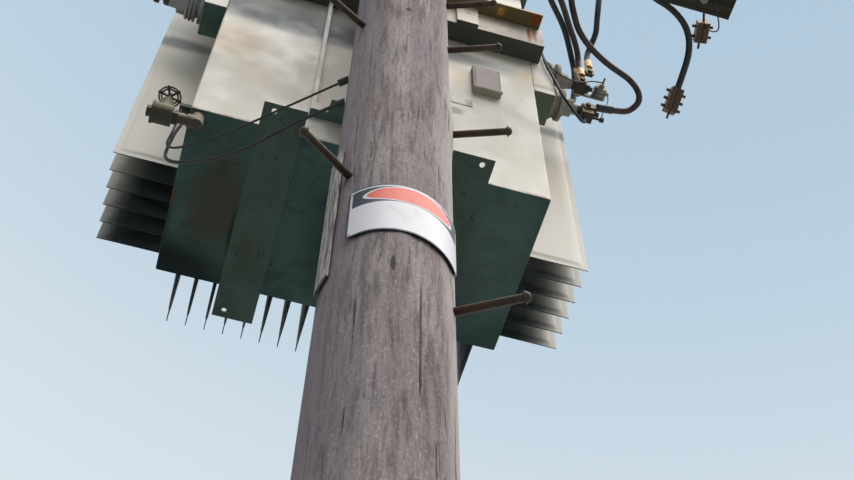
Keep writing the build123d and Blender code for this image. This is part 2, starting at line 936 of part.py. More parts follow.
def make_arm_clamp():
    """Clamp on a short bare conductor that lies in the groove of the outer insulator."""
    pin_x = insulator_places()[-1]
    x = pin_x + groove_radius + fit_gap + stub_radius
    y = arm_back() - arm_depth / 2
    z = tank_bottom + arm_bottom + arm_height + insulator_lift + insulator_skirt + insulator_groove / 2
    groove = [(x, y - groove_radius, z), (x, y + groove_radius, z)]
    stub = [(pin_x + reach, out, height) for reach, out, height in raised(stub_route)]
    points = [Vector(*point) for point in groove + stub]
    body = clamp_body(points[-2], (points[-1] - points[-2]).normalized(), arm_clamp_length, 2)
    for before, after in zip(points, points[1:]):
        body += rod_between(before, after, stub_radius)
        body += Pos(*before) * Sphere(stub_radius)
    return body


def make_line_clamp():
    """Clamp at the end of the line tail, with a short stub of the bare conductor."""
    points, _ = cord_routes()["line_tail"]
    end = Vector(*points[-1])
    way = (end - Vector(*points[-2])).normalized()
    body = clamp_body(end, way, clamp_length, 3)
    far = end + way * clamp_length
    return body + rod_between(far, far + way * stub_reach, stub_radius)


# Cords: their points are places measured on the object, from the tank's bottom upwards

loop_route = [(984, 303, 966), (1003, 275, 985), (992, 246, 1013), (955, 225, 1046), (911, 210, 1051),
    (869, 195, 1048), (824, 175, 1047), (778, 149, 1042), (734, 119, 1039), (694, 83, 1042),
    (667, 43, 1047), (641, -1, 1049), (620, -47, 1046), (607, -96, 1039), (600, -147, 1032),
    (600, -200, 1030), (600, -252, 1030)]
middle_route = [(793, 287, 1350), (764, 242, 1356), (733, 200, 1341), (704, 159, 1319), (677, 118, 1295),
    (649, 78, 1269), (618, 38, 1243), (591, -4, 1215), (571, -45, 1181), (558, -82, 1142),
    (551, -115, 1097), (548, -147, 1052), (545, -196, 1030), (545, -252, 1030)]
upper_route = [(868, 299, 1499), (875, 246, 1513), (858, 192, 1507), (843, 140, 1494), (827, 95, 1467),
    (814, 61, 1425), (802, 31, 1380), (783, 1, 1337), (764, -29, 1295), (744, -56, 1250),
    (728, -81, 1204), (712, -105, 1156), (701, -127, 1107), (693, -151, 1058),
    (690, -197, 1030), (690, -252, 1030)]
wall_route = [(620, 452, 1040), (674, 452, 1040), (725, 450, 1057), (766, 445, 1092),
    (792, 439, 1139), (807, 428, 1189), (812, 412, 1240), (809, 389, 1289), (805, 362, 1339),
    (785, 329, 1375), (760, 286, 1380), (733, 242, 1369), (705, 201, 1351), (674, 162, 1329),
    (641, 124, 1304), (609, 86, 1277), (581, 48, 1248), (556, 11, 1216), (536, -27, 1182),
    (520, -64, 1145), (511, -105, 1094), (503, -148, 1047), (500, -198, 1030), (500, -252, 1030)]
line_route = [(850, -249, 1030), (850, -203, 1030), (860, -161, 1037), (893, -125, 1050),
    (937, -104, 1056), (987, -92, 1055), (1035, -71, 1048), (1076, -40, 1041), (1105, 1, 1034),
    (1121, 46, 1028), (1127, 88, 1022), (1127, 124, 1013), (1125, 155, 998), (1119, 184, 974)]
bond_route = [(611, 300, 1340), (611, 300, 1306), (619, 289, 1266), (627, 277, 1220), (629, 271, 1168),
    (629, 268, 1116), (637, 269, 1060), (651, 270, 990), (664, 269, 920), (674, 270, 862),
    (690, 275, 816), (714, 287, 783), (742, 306, 770), (768, 326, 777), (786, 339, 802),
    (794, 345.4, 835), (794, 345.4, 868)]
arrester_route = [(625, 309, 1340), (625, 309, 1312), (631, 302, 1280), (638, 293, 1240), (641, 286, 1195),
    (647, 284, 1148), (662, 282, 1100), (688, 282, 1058), (723, 284, 1040), (757, 291, 1052),
    (790, 298, 1082), (818, 303, 1114), (846, 303, 1136), (880, 303, 1142)]
rod_route = [(915, 344.8, 1135.8), (916, 345, 1108), (910, 345, 1070), (898, 345, 1023),
    (883, 345, 975), (871, 345, 930), (865, 345.5, 890.3)]
clamp_route = [(1094, -205, 905.7), (1094, -205, 884), (1103, -190, 866), (1120, -163, 858),
    (1138, -133, 866), (1150, -107, 890), (1154, -84, 930), (1152, -66, 982), (1150, -54, 1040.2)]
thin_route = [(-609, 370, 153), (-609, 370, 78), (-610, 360, 1), (-612, 352, -77), (-614, 345, -125),
    (-611, 338, -170), (-590, 325, -203), (-552, 305, -206), (-500, 277, -187), (-440, 247, -159),
    (-380, 212, -126), (-318, 174, -88), (-255, 133, -60), (-200, 95, -36), (-166, 72, -22)]
thick_route = [(-592, 375, 153), (-592, 375, 75), (-604, 366, -20), (-606, 356, -115),
    (-608, 348, -190), (-602, 338, -247), (-577, 323, -288), (-530, 300, -306), (-465, 266, -315),
    (-395, 226, -303), (-325, 176, -262), (-258, 128, -222), (-195, 83, -203), (-163, 60, -196)]
stub_route = [(65, -110, 1064), (80, -68, 1062), (97, 36, 1054)]


def raised(points):
    """Route points moved up to the height of the tank's bottom."""
    return [(x, y, z + tank_bottom) for x, y, z in points]


def cord_routes():
    """Every cord as its points and its diameter."""
    return {
        "lv_tail_1": ([*lug_exit(0, False, loop_turn), *raised(loop_route)], lv_cable),
        "lv_tail_2": ([*lug_exit(1, False, 0), *raised(middle_route)], lv_cable),
        "lv_tail_3": ([*lug_exit(1, True, 0), *raised(upper_route)], lv_cable),
        "lv_tail_4": (raised(wall_route), lv_cable),
        "line_tail": (raised(line_route), line_cable),
        "neutral_bond": (raised(bond_route), bond_lead),
        "arrester_lead": (raised(arrester_route), wire),
        "rod_lead": (raised(rod_route), wire),
        "clamp_lead": (raised(clamp_route), wire),
        "earth_lead_thin": (raised(thin_route), thin_lead),
        "earth_lead_thick": (raised(thick_route), thick_lead),
    }


def cord(name, points, diameter):
    """Round cable along straight runs joined by tangent arcs, as large as the runs allow."""
    vectors = [Vector(*point) for point in points]
    runs = [(b - a).length for a, b in zip(vectors, vectors[1:])]
    radii = []
    for k, (before, here, after) in enumerate(zip(vectors, vectors[1:], vectors[2:])):
        turn = radians((here - before).get_angle(after - here))
        radii.append(0.45 * min(runs[k], runs[k + 1]) / tan(turn / 2))
    path = FilletPolyline(*vectors, radius=radii)
    tube = sweep(Plane(origin=path @ 0, z_dir=path % 0) * Circle(diameter / 2), path)
    share = tube.volume / (path.length * pi * diameter ** 2 / 4)
    print(name, "radii in diameters", [round(r / diameter, 1) for r in radii], "length", round(path.length),
          "volume share", round(share, 4))
    return tube


def build():
    """Make every sub-part and write it."""
    os.makedirs("parts", exist_ok=True)
    save("pole", make_pole())
    right, left = step_places()
    save("step_rods_right", *[make_step(z, angle) for z, angle in right])
    save("step_rods_left", *[make_step(z, angle) for z, angle in left])
    save("cable_capping", make_capping())
    save("sign_plate", make_sign())
    save("tank_body", make_tank())
    save("tank_lid", make_lid())
    save("skids", make_skid(-1), make_skid(1))
    save("fins_left", *side_fins(-1))
    save("fins_right", *side_fins(1))
    save("fins_back", *back_fins())
    save("lv_pocket", make_pocket(1, lv_upright, lv_slope, [lv_place(k) for k in range(lv_count)]))
    save("hv_pocket", make_pocket(-1, hv_upright, hv_slope, [hv_place(k) for k in range(hv_count)]))
    save("lv_bushings", *[make_lv_bushing(k) for k in range(lv_count)])
    save("hv_bushings", *[make_hv_bushing(k) for k in range(hv_count)])
    save("hanger_channel", make_channel())
    save("pole_saddle", make_saddle(), make_pad_plate(-1), make_pad_plate(1))
    save("support_angle", make_bar())
    save("wall_ribs", make_rib(-1), make_rib(1))
    save("lower_bracket", make_bracket())
    save("through_bolts", *make_through_bolts())
    save("drain_pipe", make_pipe())
    save("valve_body", make_valve())
    save("valve_plug", make_plug())
    save("handwheel", make_wheel())
    save("front_plates", make_rating_plate(), make_label())
    save("crossarm", make_arm())
    save("arm_insulators", *[make_insulator(x) for x in insulator_places()])
    save("lv_terminals", *[make_terminal(k) for k in range(lv_count)])
    save("lv_lugs", make_lug(0, False, loop_turn), make_lug(1, False, 0), make_lug(1, True, 0))
    save("surge_arrester", make_arrester())
    clips = [make_pole_clip(raised(route)) for route in (thin_route, thick_route)]
    save("earth_fittings", make_right_pad(), make_left_pad(), make_wall_boss(), *clips)
    save("cable_cleat", make_cleat())
    save("arm_clamp", make_arm_clamp())
    save("line_clamp", make_line_clamp())
    for name, (points, diameter) in cord_routes().items():
        save(name, cord(name, points, diameter))


build()
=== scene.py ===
import math
import time

import bmesh
import bpy
import numpy as np
from mathutils import Matrix, Vector


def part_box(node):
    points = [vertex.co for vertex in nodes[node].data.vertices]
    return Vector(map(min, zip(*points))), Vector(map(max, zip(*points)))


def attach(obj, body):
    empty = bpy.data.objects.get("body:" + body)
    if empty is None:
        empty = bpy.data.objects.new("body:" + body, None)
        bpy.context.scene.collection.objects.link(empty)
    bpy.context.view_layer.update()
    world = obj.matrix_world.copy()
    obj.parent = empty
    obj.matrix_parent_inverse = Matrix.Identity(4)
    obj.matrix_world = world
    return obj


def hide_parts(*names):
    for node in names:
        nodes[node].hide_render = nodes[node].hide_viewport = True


# Pole mounted transformer: finishes, lights and fine pieces around the fixed frame.
# Everything is in metres. The pole stands on z = 0 and the tank's bottom is at tankBottom.

startTime = time.time()
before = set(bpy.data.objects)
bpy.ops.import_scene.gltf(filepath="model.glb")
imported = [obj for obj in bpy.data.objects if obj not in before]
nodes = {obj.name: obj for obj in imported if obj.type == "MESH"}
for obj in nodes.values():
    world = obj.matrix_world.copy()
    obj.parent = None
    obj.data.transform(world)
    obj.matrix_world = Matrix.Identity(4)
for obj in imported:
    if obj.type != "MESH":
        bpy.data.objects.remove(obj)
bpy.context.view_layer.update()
rng = np.random.default_rng(11)
tankBottom = 5.4


def report(stage):
    print(f"{stage}: {time.time() - startTime:.1f} s")


# Points, grids and meshes

def vec(*values):
    return np.array(values, float)


def unit(way):
    way = np.asarray(way, float)
    return way / np.linalg.norm(way)


def sideWays(way):
    # two unit directions square to a way and to each other
    way = unit(way)
    other = vec(0, 0, 1) if abs(way[2]) < 0.9 else vec(1, 0, 0)
    first = unit(np.cross(other, way))
    return first, np.cross(way, first)


def smoothStep(low, high, value):
    # 0 below low, 1 above high, and a smooth cubic between them
    t = np.clip((value - low) / (high - low), 0, 1)
    return t * t * (3 - 2 * t)


def gridQuads(rows, cols, closedRows=False, closedCols=False):
    # corner numbers of the four-sided faces of a grid of rows times cols points
    i = np.arange(rows if closedRows else rows - 1)[:, None]
    j = np.arange(cols if closedCols else cols - 1)[None, :]
    down, right = (i + 1) % rows, (j + 1) % cols
    corners = [i * cols + j, i * cols + right, down * cols + right, down * cols + j]
    return np.stack([np.broadcast_to(c, (len(i), j.shape[1])) for c in corners], -1).reshape(-1, 4)


def softProfile(corners, edge, steps=4):
    # an outline whose inner corners are curves: each corner becomes a parabola of points
    # between the places one edge length before and after it
    p = np.asarray(corners, float)
    into, out = p[1:-1] - p[:-2], p[2:] - p[1:-1]
    lengthIn = np.linalg.norm(into, axis=1, keepdims=True)
    lengthOut = np.linalg.norm(out, axis=1, keepdims=True)
    a = p[1:-1] - into / lengthIn * np.minimum(edge, 0.45 * lengthIn)
    b = p[1:-1] + out / lengthOut * np.minimum(edge, 0.45 * lengthOut)
    t = np.linspace(0, 1, steps)[None, :, None]
    curve = (1 - t) ** 2 * a[:, None] + 2 * t * (1 - t) * p[1:-1][:, None] + t ** 2 * b[:, None]
    return np.concatenate([p[:1], curve.reshape(-1, 2), p[-1:]])


def steppedOutline(steps, edge=0.0012):
    # (radius, distance) outline of a turned body: each step is (length, first radius, last radius)
    corners, along = [(0, 0)], 0
    for length, first, last in steps:
        corners.append((first, along))
        along += length
        corners.append((last, along))
    corners.append((0, along))
    return softProfile(corners, edge)


def lathe(outline, place, way, sides=40, turn=0.0):
    # outline (radius, distance) turned round the line from place along way
    outline = np.asarray(outline, float)
    first, second = sideWays(way)
    angle = np.linspace(0, 2 * math.pi, sides, endpoint=False) + turn
    ring = np.cos(angle)[:, None] * first + np.sin(angle)[:, None] * second
    points = (np.asarray(place, float) + outline[:, 1, None, None] * unit(way)
              + outline[:, 0, None, None] * ring[None])
    return points.reshape(-1, 3), gridQuads(len(outline), sides, closedCols=True)


def rod(start, end, radius, sides=24, edge=0.0008):
    # straight round bar between two points, with softened ends
    start, end = np.asarray(start, float), np.asarray(end, float)
    length = float(np.linalg.norm(end - start))
    return lathe(steppedOutline([(length, radius, radius)], edge), start, end - start, sides)


def hexHead(place, way, radius, height, turn=0.0):
    # hexagon nut or bolt head with a chamfered crown
    outline = [(0, 0), (radius, 0), (radius, height * 0.82), (radius * 0.88, height), (0, height)]
    return lathe(outline, place, way, 6, turn)


def washer(place, way, radius, height):
    return lathe(steppedOutline([(height, radius, radius)], 0.0006), place, way, 28)


def bolt(place, way, size, turn=0.3):
    # washer and hexagon head
    place, way = np.asarray(place, float), unit(way)
    return [washer(place, way, size * 1.15, size * 0.18),
            hexHead(place + way * size * 0.18, way, size, size * 0.7, turn)]


def boxPart(low, high):
    # six faces between two opposite corners
    low, high = np.asarray(low, float), np.asarray(high, float)
    pick = np.array([[i, j, k] for i in (0, 1) for j in (0, 1) for k in (0, 1)])
    faces = np.array([[0, 1, 3, 2], [4, 6, 7, 5], [0, 4, 5, 1], [2, 3, 7, 6], [0, 2, 6, 4], [1, 5, 7, 3]])
    return low + pick * (high - low), faces


def fillMesh(name, points, faces, attributes=None, uv=None):
    mesh = bpy.data.meshes.new(name)
    mesh.vertices.add(len(points))
    mesh.vertices.foreach_set("co", np.asarray(points, np.float32).ravel())
    mesh.loops.add(faces.size)
    mesh.loops.foreach_set("vertex_index", faces.astype(np.int32).ravel())
    mesh.polygons.add(len(faces))
    mesh.polygons.foreach_set("loop_start", np.arange(0, faces.size, faces.shape[1], dtype=np.int32))
    mesh.update(calc_edges=True)
    for key, values in (attributes or {}).items():
        layer = mesh.attributes.new(key, "FLOAT", "POINT")
        layer.data.foreach_set("value", np.asarray(values, np.float32).ravel())
    if uv is not None:
        layer = mesh.uv_layers.new(name="UVMap")
        layer.data.foreach_set("uv", np.asarray(uv, np.float32)[faces.ravel()].ravel())
    return mesh


def cleanMesh(mesh):
    # joins points that lie on each other, closes poles and turns faces outwards
    work = bmesh.new()
    work.from_mesh(mesh)
    bmesh.ops.remove_doubles(work, verts=work.verts, dist=2e-6)
    bmesh.ops.dissolve_degenerate(work, edges=work.edges, dist=1e-6)
    bmesh.ops.recalc_face_normals(work, faces=work.faces)
    work.to_mesh(mesh)
    work.free()


def pieceName(node):
    # tank_lid is dressed by tankLid
    first, *others = node.split("_")
    return first + "".join(word.title() for word in others)


def newObject(name, data):
    item = bpy.data.objects.new(name, data)
    bpy.context.scene.collection.objects.link(item)
    return item


def placePiece(name, mesh, material, body="root", replaces=(), sharp=35):
    piece = newObject(name, mesh)
    mesh.materials.append(materials[material])
    mesh.shade_smooth()
    mesh.set_sharp_from_angle(angle=math.radians(sharp))
    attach(piece, body)
    if replaces:
        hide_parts(*replaces)
    return piece


def newPiece(name, parts, material, body="root", replaces=(), sharp=35, attributes=None, uv=None):
    # one object from several (points, faces) parts; one that has its own map keeps its points as they are
    offset, points, faces = 0, [], []
    for partPoints, partFaces in parts:
        points.append(partPoints)
        faces.append(partFaces + offset)
        offset += len(partPoints)
    mesh = fillMesh(name, np.concatenate(points), np.concatenate(faces), attributes, uv)
    if uv is None:
        cleanMesh(mesh)
    return placePiece(name, mesh, material, body, replaces, sharp)


def softenedNode(node, width, material, slotName, name=None):
    # merged copy of a node's mesh in the same place, with its edges rounded
    name = name or pieceName(node)
    source = nodes[node].data
    points = np.zeros(len(source.vertices) * 3, np.float32)
    source.vertices.foreach_get("co", points)
    corners = np.zeros(len(source.loops), np.int32)
    source.loops.foreach_get("vertex_index", corners)
    mesh = fillMesh(name, points.reshape(-1, 3), corners.reshape(-1, 3))
    work = bmesh.new()
    work.from_mesh(mesh)
    bmesh.ops.remove_doubles(work, verts=work.verts, dist=1e-5)
    bmesh.ops.dissolve_limit(work, angle_limit=0.008, verts=work.verts, edges=work.edges)
    work.to_mesh(mesh)
    work.free()
    piece = placePiece(name, mesh, material, replaces=(node,), sharp=40)
    edges = piece.modifiers.new("edges", "BEVEL")
    edges.width = width
    edges.segments = 2
    edges.limit_method = "ANGLE"
    edges.angle_limit = math.radians(32)
    edges.use_clamp_overlap = True
    edges.harden_normals = True


# The pole's taper is shared by its surface, its steps, its sign and its finish

poleLook = {"base": 0.168, "top": 0.135, "height": 10.4, "around": 288, "seenFrom": 3.2, "seenTo": 5.7,
            "seenRows": 260, "otherRows": 70, "checks": 130, "bulgeAngle": -22, "bulgeHeight": 5.02,
            "bulgeRise": 0.008, "bulgeTall": 0.17, "bulgeWide": 0.5,
            # ranges that each check's size and place are drawn from
            "checkMiddle": (0.1, 9.9), "checkHalf": (0.06, 0.34), "checkSlant": 0.05,
            "checkWave": (0.004, 0.02), "checkWidth": (0.007, 0.016), "checkDepth": (0.0020, 0.005),
            "blackDepth": 0.0045,
            # shallow hollows as (depth, waves round the pole, turn for each metre up, start)
            "hollows": ((0.0012, 3, 0.9, 0), (0.0010, 5, -1.7, 2), (0.0006, 11, 2.3, 0),
                        (0.0005, 17, -3.1, 1))}


def poleRadius(z):
    return poleLook["base"] + (poleLook["top"] - poleLook["base"]) * z / poleLook["height"]


# Materials, found by the names that they are made with

materials = {}


def lin(red, green, blue):
    # display colour in 0 to 255 as linear light
    c = np.array([red, green, blue]) / 255
    c = np.where(c <= 0.04045, c / 12.92, ((c + 0.055) / 1.055) ** 2.4)
    return (float(c[0]), float(c[1]), float(c[2]), 1.0)


def feed(tree, socket, value):
    # links an output to a socket, or writes a plain value on it
    if isinstance(value, bpy.types.NodeSocket):
        tree.links.new(value, socket)
    else:
        socket.default_value = value


def addNode(tree, kind, inputs=(), **settings):
    # new node with its settings, then outputs or plain values on its named or numbered inputs
    node = tree.nodes.new(kind)
    for key, value in settings.items():
        setattr(node, key, value)
    for key, value in dict(inputs).items():
        feed(tree, node.inputs[key], value)
    return node


def objectPlace(tree, scale=(1, 1, 1)):
    coords = addNode(tree, "ShaderNodeTexCoord").outputs["Object"]
    return addNode(tree, "ShaderNodeMapping", {"Vector": coords, "Scale": scale}).outputs["Vector"]


def splitVector(tree, vector):
    return addNode(tree, "ShaderNodeSeparateXYZ", {0: vector}).outputs


def objectAxis(tree, axis):
    return splitVector(tree, addNode(tree, "ShaderNodeTexCoord").outputs["Object"])[axis]


def attribute(tree, name):
    return addNode(tree, "ShaderNodeAttribute", attribute_name=name).outputs["Fac"]


def noise(tree, place, scale, detail=4, rough=0.55, distortion=0.0):
    inputs = {"Vector": place, "Scale": scale, "Detail": detail, "Roughness": rough, "Distortion": distortion}
    return addNode(tree, "ShaderNodeTexNoise", inputs).outputs["Fac"]


def calc(tree, operation, a, b=0.0):
    return addNode(tree, "ShaderNodeMath", {0: a, 1: b}, operation=operation).outputs[0]


def vectorCalc(tree, operation, a, b=(0, 0, 0)):
    return addNode(tree, "ShaderNodeVectorMath", {0: a, 1: b}, operation=operation).outputs


def total(tree, *terms):
    # sum of several values, each times its own share
    result = 0.0
    for value, share in terms:
        result = calc(tree, "ADD", calc(tree, "MULTIPLY", value, share), result)
    return result


def spread(tree, value, low, high, outLow=0.0, outHigh=1.0):
    # smooth step of a value from low to high, as a mask
    inputs = {"Value": value, "From Min": low, "From Max": high, "To Min": outLow, "To Max": outHigh}
    return addNode(tree, "ShaderNodeMapRange", inputs, interpolation_type="SMOOTHSTEP").outputs["Result"]


def blendColour(tree, mask, a, b):
    return addNode(tree, "ShaderNodeMix", {"Factor": mask, "A": a, "B": b}, data_type="RGBA").outputs["Result"]


def bumpNormal(tree, height, strength, depth):
    inputs = {"Strength": strength, "Distance": depth, "Height": height}
    return addNode(tree, "ShaderNodeBump", inputs).outputs["Normal"]


def newGroup(name, inputs, output, kind="NodeSocketFloat"):
    # shader node group with named number inputs and one output, and its inside ends
    group = bpy.data.node_groups.new(name, "ShaderNodeTree")
    for key, value in inputs.items():
        group.interface.new_socket(key, in_out="INPUT", socket_type="NodeSocketFloat").default_value = value
    group.interface.new_socket(output, in_out="OUTPUT", socket_type=kind)
    return group, group.nodes.new("NodeGroupInput").outputs, group.nodes.new("NodeGroupOutput").inputs[output]


def makeMaskGroup(name, stretch, detail, rough, distortion):
    # noise that is drawn out along the height where stretch is below 1, kept where it is above a threshold
    group, given, wanted = newGroup(name, {"Scale": 10, "Low": 0.5, "High": 0.75}, "Mask")
    value = noise(group, objectPlace(group, (1, 1, stretch)), given["Scale"], detail, rough, distortion)
    feed(group, wanted, spread(group, value, given["Low"], given["High"]))
    return group


def makeUnderGroup():
    # 1 on faces that look down, 0 on upright ones and those that look up
    group, given, wanted = newGroup("facesDown", {"Low": 0.35, "High": 0.75}, "Mask")
    normal = addNode(group, "ShaderNodeNewGeometry").outputs["Normal"]
    down = calc(group, "MULTIPLY", splitVector(group, normal)["Z"], -1.0)
    feed(group, wanted, spread(group, down, given["Low"], given["High"]))
    return group


def makeReliefGroup():
    # fine relief: bump from two sizes of noise
    group, given, wanted = newGroup("fineRelief", {"Scale": 60, "Strength": 0.2, "Depth": 0.001}, "Normal",
                                    "NodeSocketVector")
    place = objectPlace(group)
    coarse = noise(group, place, given["Scale"], 3)
    fine = noise(group, place, calc(group, "MULTIPLY", given["Scale"], 5.0), 2)
    height = total(group, (coarse, 0.7), (fine, 0.3))
    feed(group, wanted, bumpNormal(group, height, given["Strength"], given["Depth"]))
    return group


groups = {"streaks": makeMaskGroup("uprightStreaks", 0.05, 6, 0.62, 0.0),
          "patches": makeMaskGroup("unevenPatches", 1.0, 7, 0.6, 0.6),
          "under": makeUnderGroup(), "relief": makeReliefGroup()}


def use(tree, key, **values):
    return addNode(tree, "ShaderNodeGroup", values, node_tree=groups[key]).outputs[0]


def patches(tree, scale, low, high):
    return use(tree, "patches", Scale=scale, Low=low, High=high)


def streaks(tree, scale, low, high):
    return use(tree, "streaks", Scale=scale, Low=low, High=high)


def relief(tree, scale, strength, depth):
    return use(tree, "relief", Scale=scale, Strength=strength, Depth=depth)


def spot(tree, place, size, soft=0.5, ragged=0.35, scale=3.0):
    # mask round one place: 1 inside an ellipsoid of half sizes, 0 outside, with a ragged soft edge
    away = vectorCalc(tree, "SUBTRACT", objectPlace(tree), place)[0]
    shrunk = vectorCalc(tree, "DIVIDE", away, size)[0]
    length = vectorCalc(tree, "LENGTH", shrunk)["Value"]
    wave = calc(tree, "SUBTRACT", noise(tree, shrunk, scale, 4), 0.5)
    return spread(tree, total(tree, (length, 1.0), (wave, ragged * 2)), 1.0, 1.0 - soft)


def addLayers(tree, colour, look, rows):
    # lays the look's colours over a colour one after the other, as (key, mask, amount)
    for key, mask, amount in rows:
        colour = blendColour(tree, calc(tree, "MULTIPLY", mask, amount), colour, look[key])
    return colour


def addSpots(tree, colour, look, spots, *shape):
    # lays spots over a colour, as (the look's key or a colour, place, half sizes, amount)
    for key, (x, y, z), size, amount in spots:
        mask = calc(tree, "MULTIPLY", spot(tree, (x, y, tankBottom + z), size, *shape), amount)
        colour = blendColour(tree, mask, colour, look.get(key, key))
    return colour


def newMaterial(name, roughness, metallic=0.0, level=0.5):
    material = materials[name] = bpy.data.materials.new(name)
    material.use_nodes = True
    inputs = material.node_tree.nodes["Principled BSDF"].inputs
    for key, value in {"Roughness": roughness, "Metallic": metallic, "Specular IOR Level": level}.items():
        inputs[key].default_value = value
    return material, material.node_tree


def finish(material, colour, normal=None, roughness=None, level=None):
    # wires what is given into the material's shader
    tree = material.node_tree
    given = {"Base Color": colour, "Normal": normal, "Roughness": roughness, "Specular IOR Level": level}
    for key, value in given.items():
        if value is not None:
            feed(tree, tree.nodes["Principled BSDF"].inputs[key], value)
    return material


# paint colours: under, underDark and underPale are painted shade for faces that look down, and shade is the
# colour of painted shadow and of a fine mottle
paintLook = {
    "wall": lin(203, 197, 187), "warm": lin(198, 172, 136), "cool": lin(168, 176, 180),
    "shade": lin(36, 48, 58), "under": lin(96, 120, 116), "underDark": lin(52, 68, 68),
    "underBrown": lin(94, 84, 68), "underPale": lin(118, 124, 112), "black": lin(15, 20, 22),
    "rust": lin(126, 82, 52), "roughness": 0.5,
}
# stains and painted shadows as (colour, place, half sizes, strength), in metres with heights above the tank's
# bottom; the shade rows are painted shadow: bands under the hanger channel and below the small plate on the
# wall, and bands on the first fins' faces
wallStainsAndShadows = (
    ("warm", (-0.52, 0.281, 0.58), (0.19, 0.09, 0.20), 0.65),
    ("warm", (-0.42, 0.281, 0.36), (0.12, 0.09, 0.15), 0.3),
    ("warm", (0.275, 0.281, 0.78), (0.07, 0.09, 0.13), 0.55),
    ("warm", (0.52, 0.281, 0.93), (0.13, 0.09, 0.07), 0.6),
    ("shade", (-0.34, 0.281, 0.89), (0.62, 0.09, 0.18), 0.85),
    ("shade", (-0.22, 0.281, 0.85), (0.48, 0.09, 0.12), 0.9),
    ("cool", (0.46, 0.281, 0.93), (0.08, 0.09, 0.07), 0.7),
    ("shade", (0.25, 0.281, 0.955), (0.30, 0.09, 0.085), 0.8),
    ("shade", (0.262, 0.281, 0.478), (0.055, 0.09, 0.04), 0.85),
    ("rust", (0.62, 0.281, 0.885), (0.07, 0.05, 0.03), 0.5),
)
underStains = (
    ("underBrown", (-0.44, 0.58, 0), (0.13, 0.26, 0.02), 0.8),
    ("black", (-0.53, 0.86, 0), (0.26, 0.16, 0.02), 0.9),
    ("black", (-0.59, 0.68, 0), (0.035, 0.16, 0.02), 0.8),
    ("rust", (-0.573, 0.60, 0), (0.012, 0.06, 0.02), 0.8),
    ("black", (-0.352, 0.68, 0), (0.036, 0.15, 0.02), 0.9),
    ("underDark", (0.38, 0.70, 0), (0.14, 0.22, 0.02), 0.5),
    ("underDark", (0.0, 0.6, 0), (0.20, 0.32, 0.02), 0.75),
    ("cool", (0.46, 0.52, 0), (0.20, 0.40, 0.02), 0.22),
)
# painted shadow bands on the faces of the first fins, and a warm stain
finStainsAndShadows = (
    ("shade", (-0.73, 0.503, 0.93), (0.25, 0.03, 0.075), 0.85),
    ("shade", (0.76, 0.503, 1.01), (0.22, 0.03, 0.06), 0.85),
    ("warm", (0.70, 0.503, 0.62), (0.10, 0.03, 0.30), 0.3),
)
spotShape = (0.72, 0.10, 1.3)      # softness, raggedness and scale of the ragged edge
markShape = (0.7, 0.4)


def makeTankPaint(name, stainedAndShaded=False, pale=0.0):
    # pale satin paint; what faces down is darkened to a dull green-grey as painted shade, with stains on it
    look = paintLook
    material, tree = newMaterial(name, look["roughness"], level=0.35)
    colour = addLayers(tree, look["wall"], look, (
        ("warm", patches(tree, 1.9, 0.5, 0.75), 0.16), ("cool", patches(tree, 2.8, 0.52, 0.75), 0.10),
        ("rust", streaks(tree, 18, 0.5, 0.8), 0.08), ("shade", patches(tree, 24, 0.5, 0.75), 0.08)))
    # painted shade on faces that look down: dull green-grey with darker patches, made paler by the share pale,
    # with black and brown patches over it
    under = addLayers(tree, look["under"], look, (("underDark", patches(tree, 7, 0.40, 0.68), 0.6),))
    under = blendColour(tree, pale, under, look["underPale"])
    under = addLayers(tree, under, look, (("black", patches(tree, 38, 0.60, 0.68), 0.5),
                                          ("underBrown", patches(tree, 5, 0.5, 0.7), 0.35)))
    # stains, rust and painted shadows on the wall
    if stainedAndShaded:
        colour = addSpots(tree, colour, look, wallStainsAndShadows, *spotShape)
        # rust in patches along the wall's lower edge
        edge = spread(tree, objectAxis(tree, "Z"), tankBottom + 0.016, tankBottom + 0.004)
        edge = calc(tree, "MULTIPLY", edge, patches(tree, 16, 0.35, 0.6))
        colour = addLayers(tree, colour, look, (("rust", edge, 0.8),))
        under = addSpots(tree, under, look, underStains, *spotShape)
    # faces that look down take the painted shade colour and reflect less
    down = use(tree, "under")
    rough = spread(tree, noise(tree, objectPlace(tree), 9, 5), 0.3, 0.7, look["roughness"] - 0.08,
                   look["roughness"] + 0.12)
    return finish(material, blendColour(tree, down, colour, under), relief(tree, 45, 0.3, 0.0007), rough,
                  spread(tree, down, 0, 1, 0.3, 0.05))


# fin colours: deep is painted shade between the fins towards their roots, and under is painted shade on faces
# that look down
finLook = {"pale": lin(200, 195, 187), "deep": lin(40, 58, 62), "warm": lin(206, 190, 166),
           "under": lin(46, 60, 62)}


def makeFinPaint():
    # pale paint darkened to a dark teal towards the roots of the fins as painted shade
    look = finLook
    material, tree = newMaterial("finPaint", 0.55, level=0.3)
    # the painted root shade's strength varies at random between 86 and 100 percent
    grimeAndShade = spread(tree, patches(tree, 3.0, 0.35, 0.75), 0, 1, 0.86, 1.0)
    rootShade = calc(tree, "MULTIPLY", attribute(tree, "rootShadeShare"), grimeAndShade)
    colour = addLayers(tree, look["pale"], look,
                       (("warm", streaks(tree, 22, 0.48, 0.8), 0.3), ("deep", rootShade, 1.0)))
    colour = addSpots(tree, colour, paintLook, finStainsAndShadows, *spotShape)
    # faces that look down take the under colour as painted shade; both painted shades also reflect less
    down = use(tree, "under", Low=0.3, High=0.8)
    return finish(material, blendColour(tree, down, colour, look["under"]), relief(tree, 40, 0.25, 0.0006),
                  level=spread(tree, calc(tree, "MAXIMUM", rootShade, down), 0, 1, 0.3, 0.04))


